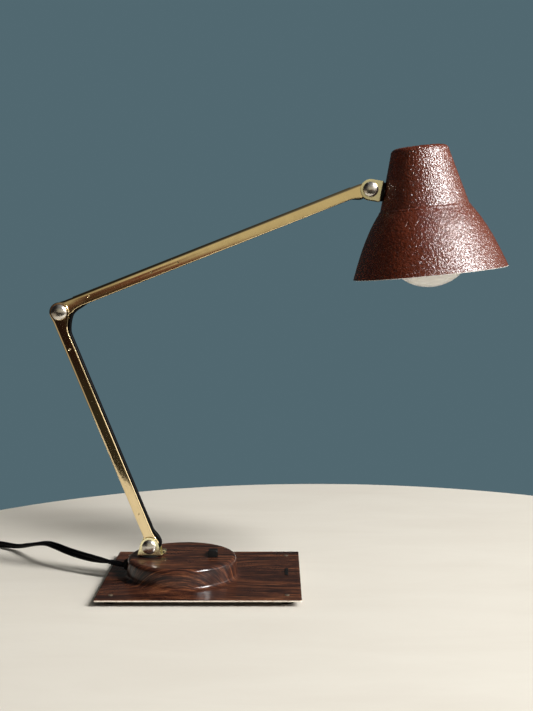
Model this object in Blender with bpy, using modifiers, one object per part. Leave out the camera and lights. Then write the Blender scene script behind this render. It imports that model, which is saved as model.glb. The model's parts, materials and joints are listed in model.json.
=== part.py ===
"""Articulated desk lamp on a weighted base.

A pressed base pan with a round boss carries a swivelling clevis, two brass
channel arms on domed pivots, and a cone shade that tilts and rolls on a second
clevis.  Origin: middle of the base on the table plane, +Z up, +X along the
base's long side towards the shade, +Y to the back.  Sizes are in millimetres
and are scaled to metres where the geometry is made.
"""
import bpy
import bmesh
from math import sin, cos, tan, pi, radians, atan2, hypot
from mathutils import Matrix, Vector

MM = 0.001

# ---------------------------------------------------------------- base sizes
SHEET = 1.2                    # thickness of the pan
PAN_X, PAN_Y = 165.0, 146.0
PAN_BOTTOM = 4.4
PAN_TOP = PAN_BOTTOM + SHEET
BOSS_X = -18.2                 # centre of the round boss
BOSS_TOP = 22.3
BOSS_R = 46.2                  # at the shoulder
BOSS_SPREAD = 0.9              # extra radius where the side meets the flare
BOSS_FOOT_R = 50.8             # where the flare meets the flat
SHOULDER_R, FLARE_R = 3.6, 3.4
BOSS_LEFT = BOSS_X - BOSS_R - 0.4    # boss side at the cord hole
COVER_X, COVER_Y = 154.0, 134.0
COVER_BOTTOM, COVER_TOP = 3.1, 4.1
FELT_R, FELT_TOP = 44.0, 2.8
WEIGHT_R, WEIGHT_TOP = 43.0, 17.6
WEIGHT_GAP = 0.3               # clearance above the cover
CORD_Y, CORD_Z = 4.0, 13.0     # where the cord enters the boss

RIVET_HOLE_R = 1.7
CORNERS = [(side_x * 70.8, side_y * 59.0)
           for side_x, side_y in ((-1, -1), (1, -1), (1, 1), (-1, 1))]
SCREW_CIRCLE_R = 31.0
SCREW_SPOTS = [(BOSS_X + SCREW_CIRCLE_R * cos(radians(a)), SCREW_CIRCLE_R * sin(radians(a)))
               for a in (90, 222, 318)]

SWITCH_X, SWITCH_Y = 8.0, -0.4
SWITCH_Z = BOSS_TOP - 3.9      # rocker axis
SWITCH_OPENING_HALF = 4.3      # half width of the pan slot and of the switch well

# ---------------------------------------------------------------- linkage sizes
PIVOT_RISE = 9.0               # base pivot above the boss
SWIVEL = Vector((-45.5, 0.0, BOSS_TOP))
BASE_PIVOT = Vector((-45.5, 0.0, BOSS_TOP + PIVOT_RISE))
ELBOW_PIVOT = Vector((-118.6, 0.0, 230.3))
HEAD_PIVOT = Vector((140.8, 0.0, 330.9))
UPPER_REACH = ELBOW_PIVOT.x, ELBOW_PIVOT.z, HEAD_PIVOT.x, HEAD_PIVOT.z
LOWER_LEAN = radians(21.8)     # channel axis of the lower arm, left of vertical
UPPER_RISE = atan2(HEAD_PIVOT.z - ELBOW_PIVOT.z, HEAD_PIVOT.x - ELBOW_PIVOT.x)
UPPER_LENGTH = hypot(HEAD_PIVOT.x - ELBOW_PIVOT.x, HEAD_PIVOT.z - ELBOW_PIVOT.z)
HEAD_DROP = radians(10.1)      # axis of the head clevis, below horizontal
HEAD_ROLL = radians(1.4)       # shade's rim rolled slightly to the back
SHADE_LEAN = radians(15.7)     # shade's top towards the arm, from square to the clevis axis

UPPER_HALF = 4.0               # half widths across the arm flanges
LOWER_HALF = 5.8
ARM_SHEET = 1.0
CLEVIS_SHEET = 1.2
BASE_CLEVIS_IN = 6.6           # half widths inside and outside the clevis ears
BASE_CLEVIS_OUT = BASE_CLEVIS_IN + CLEVIS_SHEET
HEAD_CLEVIS_IN = 4.8
HEAD_CLEVIS_OUT = HEAD_CLEVIS_IN + CLEVIS_SHEET
PIN_R, PIN_HOLE_R = 2.4, 2.75
SWIVEL_HOLE_R = 3.95
HEAD_WEB_IN = 8.3              # web of the head clevis, from the pivot
HEAD_WEB_OUT = HEAD_WEB_IN + CLEVIS_SHEET

# ---------------------------------------------------------------- shade sizes
SHADE_RIM_R = 64.3
SHADE_H = 104.2
SHADE_T = 0.9
CREASE = 52.6                  # height of the crease between bell and neck
NECK_CORNER_R = 5.2
SHADE_AXIAL, SHADE_OFFSET = 73.5, 43.5     # head pivot above the rim, and off axis
WALL = 11.65                   # shade wall from the pivot, along the clevis axis
WALL_INSIDE = WALL + SHADE_T
HEAD_HOLE_R = 3.75             # nipple hole in the shade, strap and spacer

# base colour, roughness, metallic
FINISHES = {
    "woodgrain": ((0.075, 0.022, 0.012), 0.25, 0.0),
    "steel": ((0.42, 0.42, 0.42), 0.40, 0.9),
    "nickel": ((0.62, 0.60, 0.56), 0.22, 1.0),
    "brass": ((0.66, 0.52, 0.25), 0.28, 1.0),
    "iron": ((0.06, 0.06, 0.06), 0.7, 0.6),
    "black_plastic": ((0.012, 0.012, 0.012), 0.35, 0.0),
    "rubber": ((0.015, 0.015, 0.015), 0.8, 0.0),
    "felt": ((0.03, 0.09, 0.05), 0.95, 0.0),
    "fibre": ((0.10, 0.025, 0.02), 0.7, 0.0),
    "paint": ((0.115, 0.030, 0.015), 0.42, 0.0),
    "phenolic": ((0.02, 0.016, 0.014), 0.45, 0.0),
    "bulb": ((0.85, 0.84, 0.80), 0.35, 0.0),
    "cord": ((0.014, 0.014, 0.015), 0.5, 0.0),
}

X_AXIS, Y_AXIS, Z_AXIS = (1, 0, 0), (0, 1, 0), (0, 0, 1)

# turns that take a piece's own +Z to the named direction
TO_TOP = Matrix.Identity(3)
TO_FRONT = Matrix.Rotation(pi / 2, 3, 'X')
TO_BACK = Matrix.Rotation(-pi / 2, 3, 'X')
TO_RIGHT = Matrix.Rotation(pi / 2, 3, 'Y')
TO_LEFT = Matrix.Rotation(-pi / 2, 3, 'Y')

# ---------------------------------------------------------------- scene
for old in list(bpy.data.objects):
    bpy.data.objects.remove(old, do_unlink=True)

scene = bpy.context.scene
PARTS = bpy.data.collections.new("desk_lamp")
CUTTERS = bpy.data.collections.new("cutters")
scene.collection.children.link(PARTS)
scene.collection.children.link(CUTTERS)


def make_material(name, colour, roughness, metallic):
    mat = bpy.data.materials.new(name)
    mat.use_nodes = True
    shader = mat.node_tree.nodes["Principled BSDF"]
    shader.inputs["Base Color"].default_value = (*colour, 1.0)
    shader.inputs["Roughness"].default_value = roughness
    shader.inputs["Metallic"].default_value = metallic
    mat.diffuse_color = (*colour, 1.0)
    return mat


MATERIALS = {name: make_material(name, *values) for name, values in FINISHES.items()}


def place(obj, parent, at, turn):
    """Set a piece at a point in mm, turned by a 3x3 matrix, in its parent's frame."""
    obj.parent = parent
    obj.matrix_basis = Matrix.Translation(Vector(at) * MM) @ turn.to_4x4()


def add(obj, finish, parent=None, at=(0, 0, 0), turn=TO_TOP, smooth=35.0):
    """Make an object a part: link, colour, smooth its round faces and place it."""
    PARTS.objects.link(obj)
    obj.data.materials.clear()
    obj.data.materials.append(MATERIALS[finish])
    obj.data.shade_smooth()
    obj.data.set_sharp_from_angle(angle=radians(smooth))
    place(obj, parent, at, turn)
    return obj


def combine(target, tool, parent=None, at=(0, 0, 0), turn=TO_TOP, operation='DIFFERENCE'):
    """Cut a hidden helper out of a part, or join it on with 'UNION'."""
    CUTTERS.objects.link(tool)
    tool.hide_render = True
    tool.display_type = 'WIRE'
    place(tool, parent, at, turn)
    mod = target.modifiers.new(tool.name, 'BOOLEAN')
    mod.operation = operation
    mod.object = tool
    mod.solver = 'EXACT'


# ---------------------------------------------------------------- shape makers
def turned(name, profile, steps):
    """Revolve a profile of (radius, height) about Z.  Off the axis it is closed up."""
    bm = bmesh.new()
    verts = [bm.verts.new((r * MM, 0.0, z * MM)) for r, z in profile]
    for first, second in zip(verts, verts[1:]):
        bm.edges.new((first, second))
    if profile[0][0] > 1e-6 or profile[-1][0] > 1e-6:
        bm.edges.new((verts[-1], verts[0]))
    mesh = bpy.data.meshes.new(name)
    bm.to_mesh(mesh)
    bm.free()
    obj = bpy.data.objects.new(name, mesh)
    screw = obj.modifiers.new("turn", 'SCREW')
    screw.axis = 'Z'
    screw.angle = 2 * pi
    screw.screw_offset = 0.0
    screw.steps = screw.render_steps = steps
    screw.use_merge_vertices = True
    screw.merge_threshold = 0.000005
    screw.use_smooth_shade = True
    return obj


def ring(name, outer_r, inner_r, bottom, top, steps):
    profile = [(inner_r, top), (outer_r, top), (outer_r, bottom), (inner_r, bottom)]
    return turned(name, profile, steps)


def rod(name, radius, bottom, top, steps):
    return turned(name, [(0, top), (radius, top), (radius, bottom), (0, bottom)], steps)


def both(half):
    """A span centred on zero."""
    return (-half, half)


def box(name, *spans):
    """A box from its (low, high) spans in x, y and z."""
    bm = bmesh.new()
    bmesh.ops.create_cube(bm, size=1.0)
    size = Vector([high - low for low, high in spans]) * MM
    centre = Vector([low + high for low, high in spans]) * MM / 2
    bmesh.ops.scale(bm, vec=size, verts=bm.verts)
    bmesh.ops.translate(bm, vec=centre, verts=bm.verts)
    mesh = bpy.data.meshes.new(name)
    bm.to_mesh(mesh)
    bm.free()
    return bpy.data.objects.new(name, mesh)


def weld_curve(curve, name):
    """Turn a capped curve into a closed mesh object."""
    curve_obj = bpy.data.objects.new(name + "_curve", curve)
    scene.collection.objects.link(curve_obj)
    bpy.context.view_layer.update()
    deps = bpy.context.evaluated_depsgraph_get()
    mesh = bpy.data.meshes.new_from_object(curve_obj.evaluated_get(deps))
    mesh.name = name
    bm = bmesh.new()
    bm.from_mesh(mesh)
    bmesh.ops.remove_doubles(bm, verts=bm.verts, dist=0.000004)
    bmesh.ops.recalc_face_normals(bm, faces=bm.faces)
    bm.to_mesh(mesh)
    bm.free()
    bpy.data.objects.remove(curve_obj, do_unlink=True)
    bpy.data.curves.remove(curve)
    return bpy.data.objects.new(name, mesh)


def plate(name, outline, bottom, top):
    """A flat outline in XY, filled and extruded between two heights."""
    curve = bpy.data.curves.new(name, 'CURVE')
    curve.dimensions = '2D'
    curve.fill_mode = 'BOTH'
    curve.extrude = (top - bottom) / 2 * MM
    spline = curve.splines.new('POLY')
    spline.points.add(len(outline) - 1)
    for point, (x, y) in zip(spline.points, outline):
        point.co = (x * MM, y * MM, 0.0, 1.0)
    spline.use_cyclic_u = True
    obj = weld_curve(curve, name)
    for vert in obj.data.vertices:
        vert.co.z += (bottom + top) / 2 * MM
    return obj


def upright(name, outline, half_width):
    """An outline standing in the XZ plane, extruded to both sides in Y."""
    obj = plate(name, outline, -half_width, half_width)
    obj.data.transform(Matrix.Rotation(pi / 2, 4, 'X'))
    return obj


def tube(name, points, radius, resolution):
    curve = bpy.data.curves.new(name, 'CURVE')
    curve.dimensions = '3D'
    curve.bevel_depth = radius * MM
    curve.bevel_resolution = resolution
    curve.use_fill_caps = True
    spline = curve.splines.new('POLY')
    spline.points.add(len(points) - 1)
    for point, place_mm in zip(spline.points, points):
        point.co = (*[c * MM for c in place_mm], 1.0)
    return weld_curve(curve, name)


def arc(centre_x, centre_y, radius, start, end, count):
    """count + 1 points on a circle, angles in degrees."""
    angles = [radians(start + (end - start) * i / count) for i in range(count + 1)]
    return [(centre_x + radius * cos(a), centre_y + radius * sin(a)) for a in angles]


def rounded(width, depth, radius, count):
    """A rectangle with rounded corners."""
    x, y = width / 2 - radius, depth / 2 - radius
    return (arc(x, y, radius, 0, 90, count) + arc(-x, y, radius, 90, 180, count)
            + arc(-x, -y, radius, 180, 270, count) + arc(x, -y, radius, 270, 360, count))


def smooth_path(points, per_leg):
    """Catmull-Rom points through the given ones."""
    pts = [Vector(p) for p in points]
    extended = [2 * pts[0] - pts[1]] + pts + [2 * pts[-1] - pts[-2]]
    path = []
    for i in range(1, len(extended) - 2):
        p0, p1, p2, p3 = extended[i - 1:i + 3]
        for k in range(per_leg):
            t = k / per_leg
            path.append(0.5 * ((2 * p1) + (p2 - p0) * t
                               + (2 * p0 - 5 * p1 + 4 * p2 - p3) * t * t
                               + (3 * p1 - p0 - 3 * p2 + p3) * t ** 3))
    path.append(pts[-1])
    return path


def inset(profile, depth):
    """Offset a profile inwards along its own normals; points on the axis move down."""
    result = []
    for i, (r, z) in enumerate(profile):
        before = profile[max(i - 1, 0)]
        after = profile[min(i + 1, len(profile) - 1)]
        dr, dz = after[0] - before[0], after[1] - before[1]
        length = hypot(dr, dz)
        if r > 1e-6:
            result.append((r + dz / length * depth, z - dr / length * depth))
        else:
            result.append((0.0, z - depth))
    return result


def hole(target, name, radius, centre, axis, length, steps, parent=None):
    """Cut a round hole centred on a point along an axis."""
    turn = Vector(Z_AXIS).rotation_difference(Vector(axis)).to_matrix()
    combine(target, rod(name, radius, -length / 2, length / 2, steps), parent, centre, turn)


def holes_at(target, prefix, spots, z, radius, length, steps):
    """Numbered upright holes at a list of (x, y) spots."""
    for i, (x, y) in enumerate(spots, 1):
        hole(target, f"{prefix}_{i}", radius, (x, y, z), Z_AXIS, length, steps)


def pin_hole(target, name, parent, x=0, z=0):
    """Cut a pivot pin's hole from front to back."""
    hole(target, name, PIN_HOLE_R, (x, 0, z), Y_AXIS, length=40, steps=14, parent=parent)


def hex_nut(name, across_flats, bore_r, bottom, top, parent, turn=TO_TOP):
    corner_r = across_flats / 2 / cos(pi / 6)
    outline = [(corner_r * cos(pi / 3 * k), corner_r * sin(pi / 3 * k)) for k in range(6)]
    nut = add(plate(name, outline, bottom, top), "steel", parent, turn=turn)
    axis = turn @ Vector(Z_AXIS)
    hole(nut, "cut_" + name, bore_r, (0, 0, 0), axis, length=60, steps=18, parent=parent)


def pivot_hardware(prefix, parent, centre, inner_half, clevis_half, arm_half, dome_r):
    """Domed shoulder bolt, domed nut, and two friction washers on a pivot axis."""
    seat = clevis_half + 0.15
    dome_base = seat + 0.7
    dome_h = dome_r * 0.42
    dome = [(0, dome_base + dome_h)]
    dome += [(dome_r * sin(radians(a)), dome_base + dome_h * cos(radians(a)))
             for a in (28, 56, 80)]
    dome += [(dome_r, seat + 0.55), (dome_r, seat)]
    pin_end = -clevis_half - 0.6
    shank = [(PIN_R, seat), (PIN_R, pin_end), (0, pin_end)]
    socket_r, socket_top = PIN_R + 0.3, seat + 0.9
    recess = [(socket_r, seat), (socket_r, socket_top), (0, socket_top)]
    add(turned(prefix + "_bolt", dome + shank, 16), "nickel", parent, centre, TO_FRONT)
    add(turned(prefix + "_nut", dome + recess, 16), "nickel", parent, centre, TO_BACK)
    for word, turn in (("front", TO_FRONT), ("rear", TO_BACK)):
        washer = ring(f"{prefix}_washer_{word}", 4.6, PIN_HOLE_R,
                      arm_half + 0.2, inner_half - 0.2, 12)
        add(washer, "fibre", parent, centre, turn)


# ---------------------------------------------------------------- frames
def frame(name, matrix, parent=None):
    """An empty that stands for a joint or an arm's own frame, given in world space."""
    empty = bpy.data.objects.new(name, None)
    empty.empty_display_size = 0.01
    PARTS.objects.link(empty)
    empty.parent = parent
    empty.matrix_world = matrix
    bpy.context.view_layer.update()
    return empty


def turned_about(point, angle, axis='Y'):
    return Matrix.Translation(point * MM) @ Matrix.Rotation(angle, 4, axis)


SWIVEL_FRAME = frame("base_swivel_axis", Matrix.Translation(SWIVEL * MM))
# lower arm: local +Z up along the channel, +X towards the open side
LOWER_FRAME = frame("lower_arm_axis", turned_about(BASE_PIVOT, -LOWER_LEAN), SWIVEL_FRAME)
# upper arm: local +X along the channel, +Z towards the web
UPPER_FRAME = frame("elbow_axis", turned_about(ELBOW_PIVOT, -UPPER_RISE), LOWER_FRAME)
# head clevis: local +X along its axis
HEAD_FRAME = frame("head_tilt_axis", turned_about(HEAD_PIVOT, HEAD_DROP), UPPER_FRAME)
ROLL_FRAME = frame("head_roll_axis",
                   HEAD_FRAME.matrix_world @ Matrix.Rotation(HEAD_ROLL, 4, 'X'), HEAD_FRAME)
# shade: local +Z along the shade's axis, origin at the rim's centre
SHADE_FRAME = frame("shade_axis",
                    ROLL_FRAME.matrix_world @ Matrix.Rotation(-SHADE_LEAN, 4, 'Y')
                    @ Matrix.Translation(Vector((SHADE_OFFSET, 0, -SHADE_AXIAL)) * MM),
                    ROLL_FRAME)
ROCKER_FRAME = frame("rocker_axis",
                     turned_about(Vector((SWITCH_X, SWITCH_Y, SWITCH_Z)), radians(-7), 'X'))


# ================================================================ BASE
def boss_profile(shift, top, foot_z):
    """Shoulder, side and flare of the boss; shift moves it inwards."""
    shoulder_r = SHOULDER_R - shift * 0.4
    flare_r = FLARE_R + shift
    flare_x = BOSS_R + BOSS_SPREAD - shift + flare_r
    return ([(0, top)]
            + arc(BOSS_R - shift - shoulder_r, top - shoulder_r, shoulder_r, 90, 8, 3)
            + arc(flare_x, PAN_TOP - shift + flare_r, flare_r, 182, 262, 3)
            + [(BOSS_FOOT_R, foot_z), (0, foot_z)])


def build_pan():
    """Flat sheet and drawn boss in one piece."""
    pan = add(plate("base_pan", rounded(PAN_X, PAN_Y, 1.6, 3), PAN_BOTTOM, PAN_TOP), "woodgrain")
    outer = boss_profile(0.0, BOSS_TOP, PAN_BOTTOM + 0.5)
    combine(pan, turned("boss_outer", outer, 38), at=(BOSS_X, 0, 0), operation='UNION')
    cavity = boss_profile(SHEET, BOSS_TOP - SHEET, PAN_BOTTOM - 1.0)
    combine(pan, turned("boss_inner", cavity, 38), at=(BOSS_X, 0, 0))
    hole(pan, "cut_pan_swivel", SWIVEL_HOLE_R, (SWIVEL.x, 0, BOSS_TOP), Z_AXIS, 8, steps=16)
    slot = box("cut_pan_switch", both(SWITCH_OPENING_HALF), both(7.4), both(4))
    combine(pan, slot, at=(SWITCH_X, SWITCH_Y, BOSS_TOP))
    hole(pan, "cut_pan_cord", 4.5, (BOSS_LEFT, CORD_Y, CORD_Z), X_AXIS, 10, steps=20)
    holes_at(pan, "cut_pan_rivet", CORNERS, (PAN_BOTTOM + PAN_TOP) / 2,
             RIVET_HOLE_R, length=6, steps=12)


def build_cover():
    """Bottom cover, held by the corner rivets and three screws."""
    outline = rounded(COVER_X, COVER_Y, 6.0, 4)
    cover = add(plate("bottom_cover", outline, COVER_BOTTOM, COVER_TOP), "steel")
    middle = (COVER_BOTTOM + COVER_TOP) / 2
    holes_at(cover, "cut_cover_screw", SCREW_SPOTS, middle, 2.3, length=6, steps=12)
    holes_at(cover, "cut_cover_rivet", CORNERS, middle, RIVET_HOLE_R, length=6, steps=12)


def build_felt():
    """Felt pad under the cover, open round the screw heads."""
    felt = add(rod("felt_pad", FELT_R, 0.0, FELT_TOP, 32), "felt", at=(BOSS_X, 0, 0))
    holes_at(felt, "cut_felt", SCREW_SPOTS, 1.5, 4.4, length=8, steps=14)


def build_weight():
    """Cast disc with a channel for the swivel nut, switch and leads."""
    disc = rod("ballast_weight", WEIGHT_R, COVER_TOP + WEIGHT_GAP, WEIGHT_TOP, 32)
    weight = add(disc, "iron", at=(BOSS_X, 0, 0))
    combine(weight, box("cut_weight_channel", both(60), both(11.0), (7.6, 40)),
            at=(BOSS_X, 0, 0))
    holes_at(weight, "cut_weight_screw", SCREW_SPOTS, 7.6, 2.2, length=10, steps=12)


def build_cover_screws():
    """Head-down screws, each with a driver slot."""
    profile = [(0, 11.4), (1.6, 11.4), (1.9, 10.9), (1.9, 2.8), (3.6, 2.8), (3.6, 1.9),
               (2.9, 1.2), (0, 1.0)]
    for i, (x, y) in enumerate(SCREW_SPOTS, 1):
        screw = add(turned(f"cover_screw_{i}", profile, 12), "steel", at=(x, y, 0))
        combine(screw, box(f"cut_screw_slot_{i}", both(5), both(0.45), (0.2, 1.9)),
                at=(x, y, 0), turn=Matrix.Rotation(radians(35 * i), 3, 'Z'))


def build_feet():
    foot = [(RIVET_HOLE_R, 2.8), (5.4, 2.8), (6.0, 1.2), (5.6, 0.0), (2.9, 0.0), (2.9, 1.5),
            (RIVET_HOLE_R, 1.5)]
    rivet = [(0, 6.75), (1.2, 6.6), (2.1, 6.2), (2.5, 5.75), (1.35, 5.75), (1.35, 1.2),
             (2.4, 1.2), (2.4, 0.4), (0, 0.4)]
    for i, (x, y) in enumerate(CORNERS, 1):
        add(turned(f"rubber_foot_{i}", foot, 12), "rubber", at=(x, y, 0))
        add(turned(f"foot_rivet_{i}", rivet, 10), "nickel", at=(x, y, 0))


def build_inlay():
    """Blank strip near the right edge."""
    strip = box("inlay_strip", both(1.4), both(10.0), (0, 0.45))
    add(strip, "black_plastic", at=(71.0, 6.0, PAN_TOP + 0.12))


def build_switch_body():
    """Body under the boss, with a well for the rocker."""
    at = (SWITCH_X, SWITCH_Y, 0)
    body = add(box("switch_body", both(6.6), both(9.8), (8.2, BOSS_TOP - 1.6)), "phenolic", at=at)
    combine(body, box("cut_switch_well", both(SWITCH_OPENING_HALF), both(7.8), (12.8, 30)), at=at)
    hole(body, "cut_switch_pivot", 1.15, (SWITCH_X, SWITCH_Y, SWITCH_Z), X_AXIS, 20, steps=14)


def build_rocker():
    """Rocker through the slot; it rocks front to back on stubs along X."""
    top = 8.1
    outline = arc(0, 0, 3.2, 0, -180, 8) + [
        (-6.4, 3.0), (-6.7, top), (-6.1, top + 0.4), (-3.2, top - 0.1), (0.0, top - 0.5),
        (3.2, top - 0.1), (6.1, top + 0.4), (6.7, top), (6.4, 3.0)]
    rocker = upright("switch_rocker", outline, 3.9)
    rocker.data.transform(Matrix.Rotation(pi / 2, 4, 'Z'))
    add(rocker, "black_plastic", ROCKER_FRAME, smooth=50)
    combine(rocker, rod("rocker_pivot", 0.85, -5.9, 5.9, 12), ROCKER_FRAME, turn=TO_RIGHT,
            operation='UNION')


def build_bushing():
    """Strain relief where the cord enters the boss."""
    profile = [(3.5, 3.4), (4.1, 3.4), (4.7, 2.4), (4.9, 1.9), (4.9, 0.35), (4.15, 0.35),
               (4.15, -2.7), (4.8, -2.7), (4.8, -3.6), (3.5, -3.6)]
    add(turned("cord_bushing", profile, 16), "rubber",
        at=(BOSS_LEFT - 0.15, CORD_Y, CORD_Z), turn=TO_LEFT)


# ---------------------------------------------------------------- cord and plug
CORD_HALF_W, CORD_HALF_T = 2.9, 1.45
TWIST_START, TWIST_END = 26.0, 262.0     # lengths along the cord
HALF_TURNS = 5.0
# x, y, z from inside the boss to the plug
CORD_POINTS = [
    (-53, 4, 13.0), (-61, 4, 13.0), (-69, 4, 13.0), (-76, 6, 13.6), (-84, 9, 14.5),
    (-97, 15, 15.2), (-110, 23, 16.1), (-124, 34, 17.2), (-138, 47, 18.4), (-149, 60, 16.9),
    (-166, 78, 10.9), (-182, 94, 5.3), (-203, 108, 3.6), (-222, 117, 3.6), (-246, 122, 3.6),
    (-268, 112, 3.6), (-277, 92, 3.6), (-272, 70, 4.6), (-262, 48, 7.6), (-258, 30, 9.5),
    (-257, 14, 10.0)]


def cord_twist(length):
    """Flat at the bushing and at the plug, half turns in between."""
    share = (length - TWIST_START) / (TWIST_END - TWIST_START)
    return min(max(share, 0.0), 1.0) * pi * HALF_TURNS


def build_cord():
    """Flat twin cord: a figure-of-eight section carried along a path."""
    path = smooth_path(CORD_POINTS, 2)
    core_x = CORD_HALF_W - CORD_HALF_T
    waist = CORD_HALF_T * 0.72
    section = (arc(core_x, 0, CORD_HALF_T, -90, 90, 3) + [(0.0, waist)]
               + arc(-core_x, 0, CORD_HALF_T, 90, 270, 3) + [(0.0, -waist)])
    bm = bmesh.new()
    rings = []
    length = 0.0
    for i, point in enumerate(path):
        along = (path[min(i + 1, len(path) - 1)] - path[max(i - 1, 0)]).normalized()
        if i:
            length += (point - path[i - 1]).length
        side = Vector(Z_AXIS).cross(along).normalized()
        up = along.cross(side)
        angle = cord_twist(length)
        wide = side * cos(angle) + up * sin(angle)
        thick = up * cos(angle) - side * sin(angle)
        rings.append([bm.verts.new((point + wide * x + thick * y) * MM) for x, y in section])
    count = len(section)
    for ring_a, ring_b in zip(rings, rings[1:]):
        for k in range(count):
            after = (k + 1) % count
            bm.faces.new((ring_a[k], ring_a[after], ring_b[after], ring_b[k]))
    bm.faces.new(list(reversed(rings[0])))
    bm.faces.new(rings[-1])
    bmesh.ops.recalc_face_normals(bm, faces=bm.faces)
    mesh = bpy.data.meshes.new("power_cord")
    bm.to_mesh(mesh)
    bm.free()
    add(bpy.data.objects.new("power_cord", mesh), "cord", smooth=60)


PLUG_AT = Vector((-257.0, 13.6, 10.0))
BLADE_X = 6.35                 # blade centre from the plug's axis
# x, y from the cord end; the body runs to the front
PLUG_OUTLINE = [(-6.5, -4), (-9.5, -9), (-12.0, -14), (-12.0, -27), (-10.5, -28.5),
                (10.5, -28.5), (12.0, -27), (12.0, -14), (9.5, -9), (6.5, -4),
                (4.2, 0), (-4.2, 0)]
# across the blade, y
BLADE_OUTLINE = [(-3.1, -44.5), (-2.4, -46.0), (2.4, -46.0), (3.1, -44.5), (3.1, -22.4),
                 (-3.1, -22.4)]


def build_plug():
    """Moulded body and two drilled blades."""
    plug = add(plate("plug_body", PLUG_OUTLINE, -7.0, 7.0), "black_plastic", at=PLUG_AT)
    rounding = plug.modifiers.new("rounding", 'BEVEL')
    rounding.width = 1.6 * MM
    rounding.segments = 2
    rounding.limit_method = 'ANGLE'
    rounding.angle_limit = radians(50)
    for x, name in ((-BLADE_X, "left"), (BLADE_X, "right")):
        slot = box(f"cut_plug_{name}", (x - 1.1, x + 1.1), (-34, -22), both(3.5))
        combine(plug, slot, at=PLUG_AT)
        blade = add(plate(f"plug_blade_{name}", BLADE_OUTLINE, -0.75, 0.75), "brass",
                    at=PLUG_AT + Vector((x, 0, 0)), turn=TO_RIGHT)
        hole(blade, f"cut_blade_{name}", 1.6, PLUG_AT + Vector((x, -41.0, 0)), X_AXIS, 6,
             steps=12)


def build_leads():
    """Splice cap and switch lead inside the boss."""
    cap = [(0, 8.5), (1.8, 8.2), (2.6, 7.0), (3.6, 0.8), (3.7, 0.0), (2.9, 0.0), (2.2, 6.4),
           (0, 6.8)]
    add(turned("wire_splice_cap", cap, 14), "black_plastic", at=(-30.0, 6.2, 12.4), turn=TO_RIGHT)
    points = [(-46.5, -6.5, 9.6), (-38, -8.2, 9.8), (-24, -8.0, 11.5), (-10, -5.5, 13.5),
              (0.9, -4.0, 14.0)]
    add(tube("switch_lead", smooth_path(points, 2), 1.1, 1), "cord", smooth=60)


# ================================================================ BASE CLEVIS
def build_base_clevis():
    """U bracket on the boss, with a small bored curl on its right edge."""
    web_bottom = 1.1
    web_top = web_bottom + CLEVIS_SHEET
    curl_r = 2.1
    curl_at = (11.6, 0, web_bottom + curl_r)
    ear = ([(10.3, web_bottom), (9.6, 4.0)] + arc(0, PIVOT_RISE, 7.9, -22, 202, 14)
           + [(-9.6, 4.0), (-10.3, web_bottom)])
    bracket = add(upright("base_bracket", ear, BASE_CLEVIS_OUT), "brass", SWIVEL_FRAME)
    inside = box("cut_base_bracket", both(20), both(BASE_CLEVIS_IN), (web_top, 40))
    combine(bracket, inside, SWIVEL_FRAME)
    combine(bracket, rod("bracket_curl", curl_r, -2.9, 2.9, 16), SWIVEL_FRAME, curl_at, TO_FRONT,
            operation='UNION')
    hole(bracket, "cut_curl", 0.95, curl_at, Y_AXIS, 12, steps=12, parent=SWIVEL_FRAME)
    hole(bracket, "cut_bracket_web", SWIVEL_HOLE_R, (0, 0, (web_bottom + web_top) / 2), Z_AXIS, 4,
         steps=18, parent=SWIVEL_FRAME)
    pin_hole(bracket, "cut_bracket_pin", SWIVEL_FRAME, z=PIVOT_RISE)


def build_base_swivel():
    """Friction washer on the boss, and the nipple, spring washer and nut through it."""
    add(ring("base_swivel_washer", 10.0, 4.0, BOSS_TOP + 0.25, BOSS_TOP + 0.85, 28), "rubber",
        at=(SWIVEL.x, 0, 0))
    nipple = [(2.5, 3.7), (4.5, 3.7), (4.5, 2.6), (3.65, 2.6), (3.65, -11.4), (3.3, -11.9),
              (2.5, -11.9)]
    add(turned("base_swivel_nipple", nipple, 20), "steel", SWIVEL_FRAME)
    spring = [(3.95, -1.75), (6.2, -2.1), (6.2, -2.7), (3.95, -2.35)]
    add(turned("base_spring_washer", spring, 20), "steel", SWIVEL_FRAME)
    hex_nut("base_lock_nut", 13.0, 3.9, -6.4, -3.0, SWIVEL_FRAME)


# ================================================================ ARMS
LOWER_WEB = -2.0               # web side of the lower channel, x from the base pivot
LOWER_OPEN = 6.6               # its open side
# elbow pivot in the lower arm's frame
REACH = ELBOW_PIVOT - BASE_PIVOT
ELBOW_X = REACH.x * cos(LOWER_LEAN) + REACH.z * sin(LOWER_LEAN)
ELBOW_Z = -REACH.x * sin(LOWER_LEAN) + REACH.z * cos(LOWER_LEAN)
UPPER_TOP, UPPER_BOTTOM = 8.1, -1.6      # web and open sides of the upper channel
ARM_WIRE_R = 1.5
ARM_WIRE_END = 22.0            # wire ends short of the pivots


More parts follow.
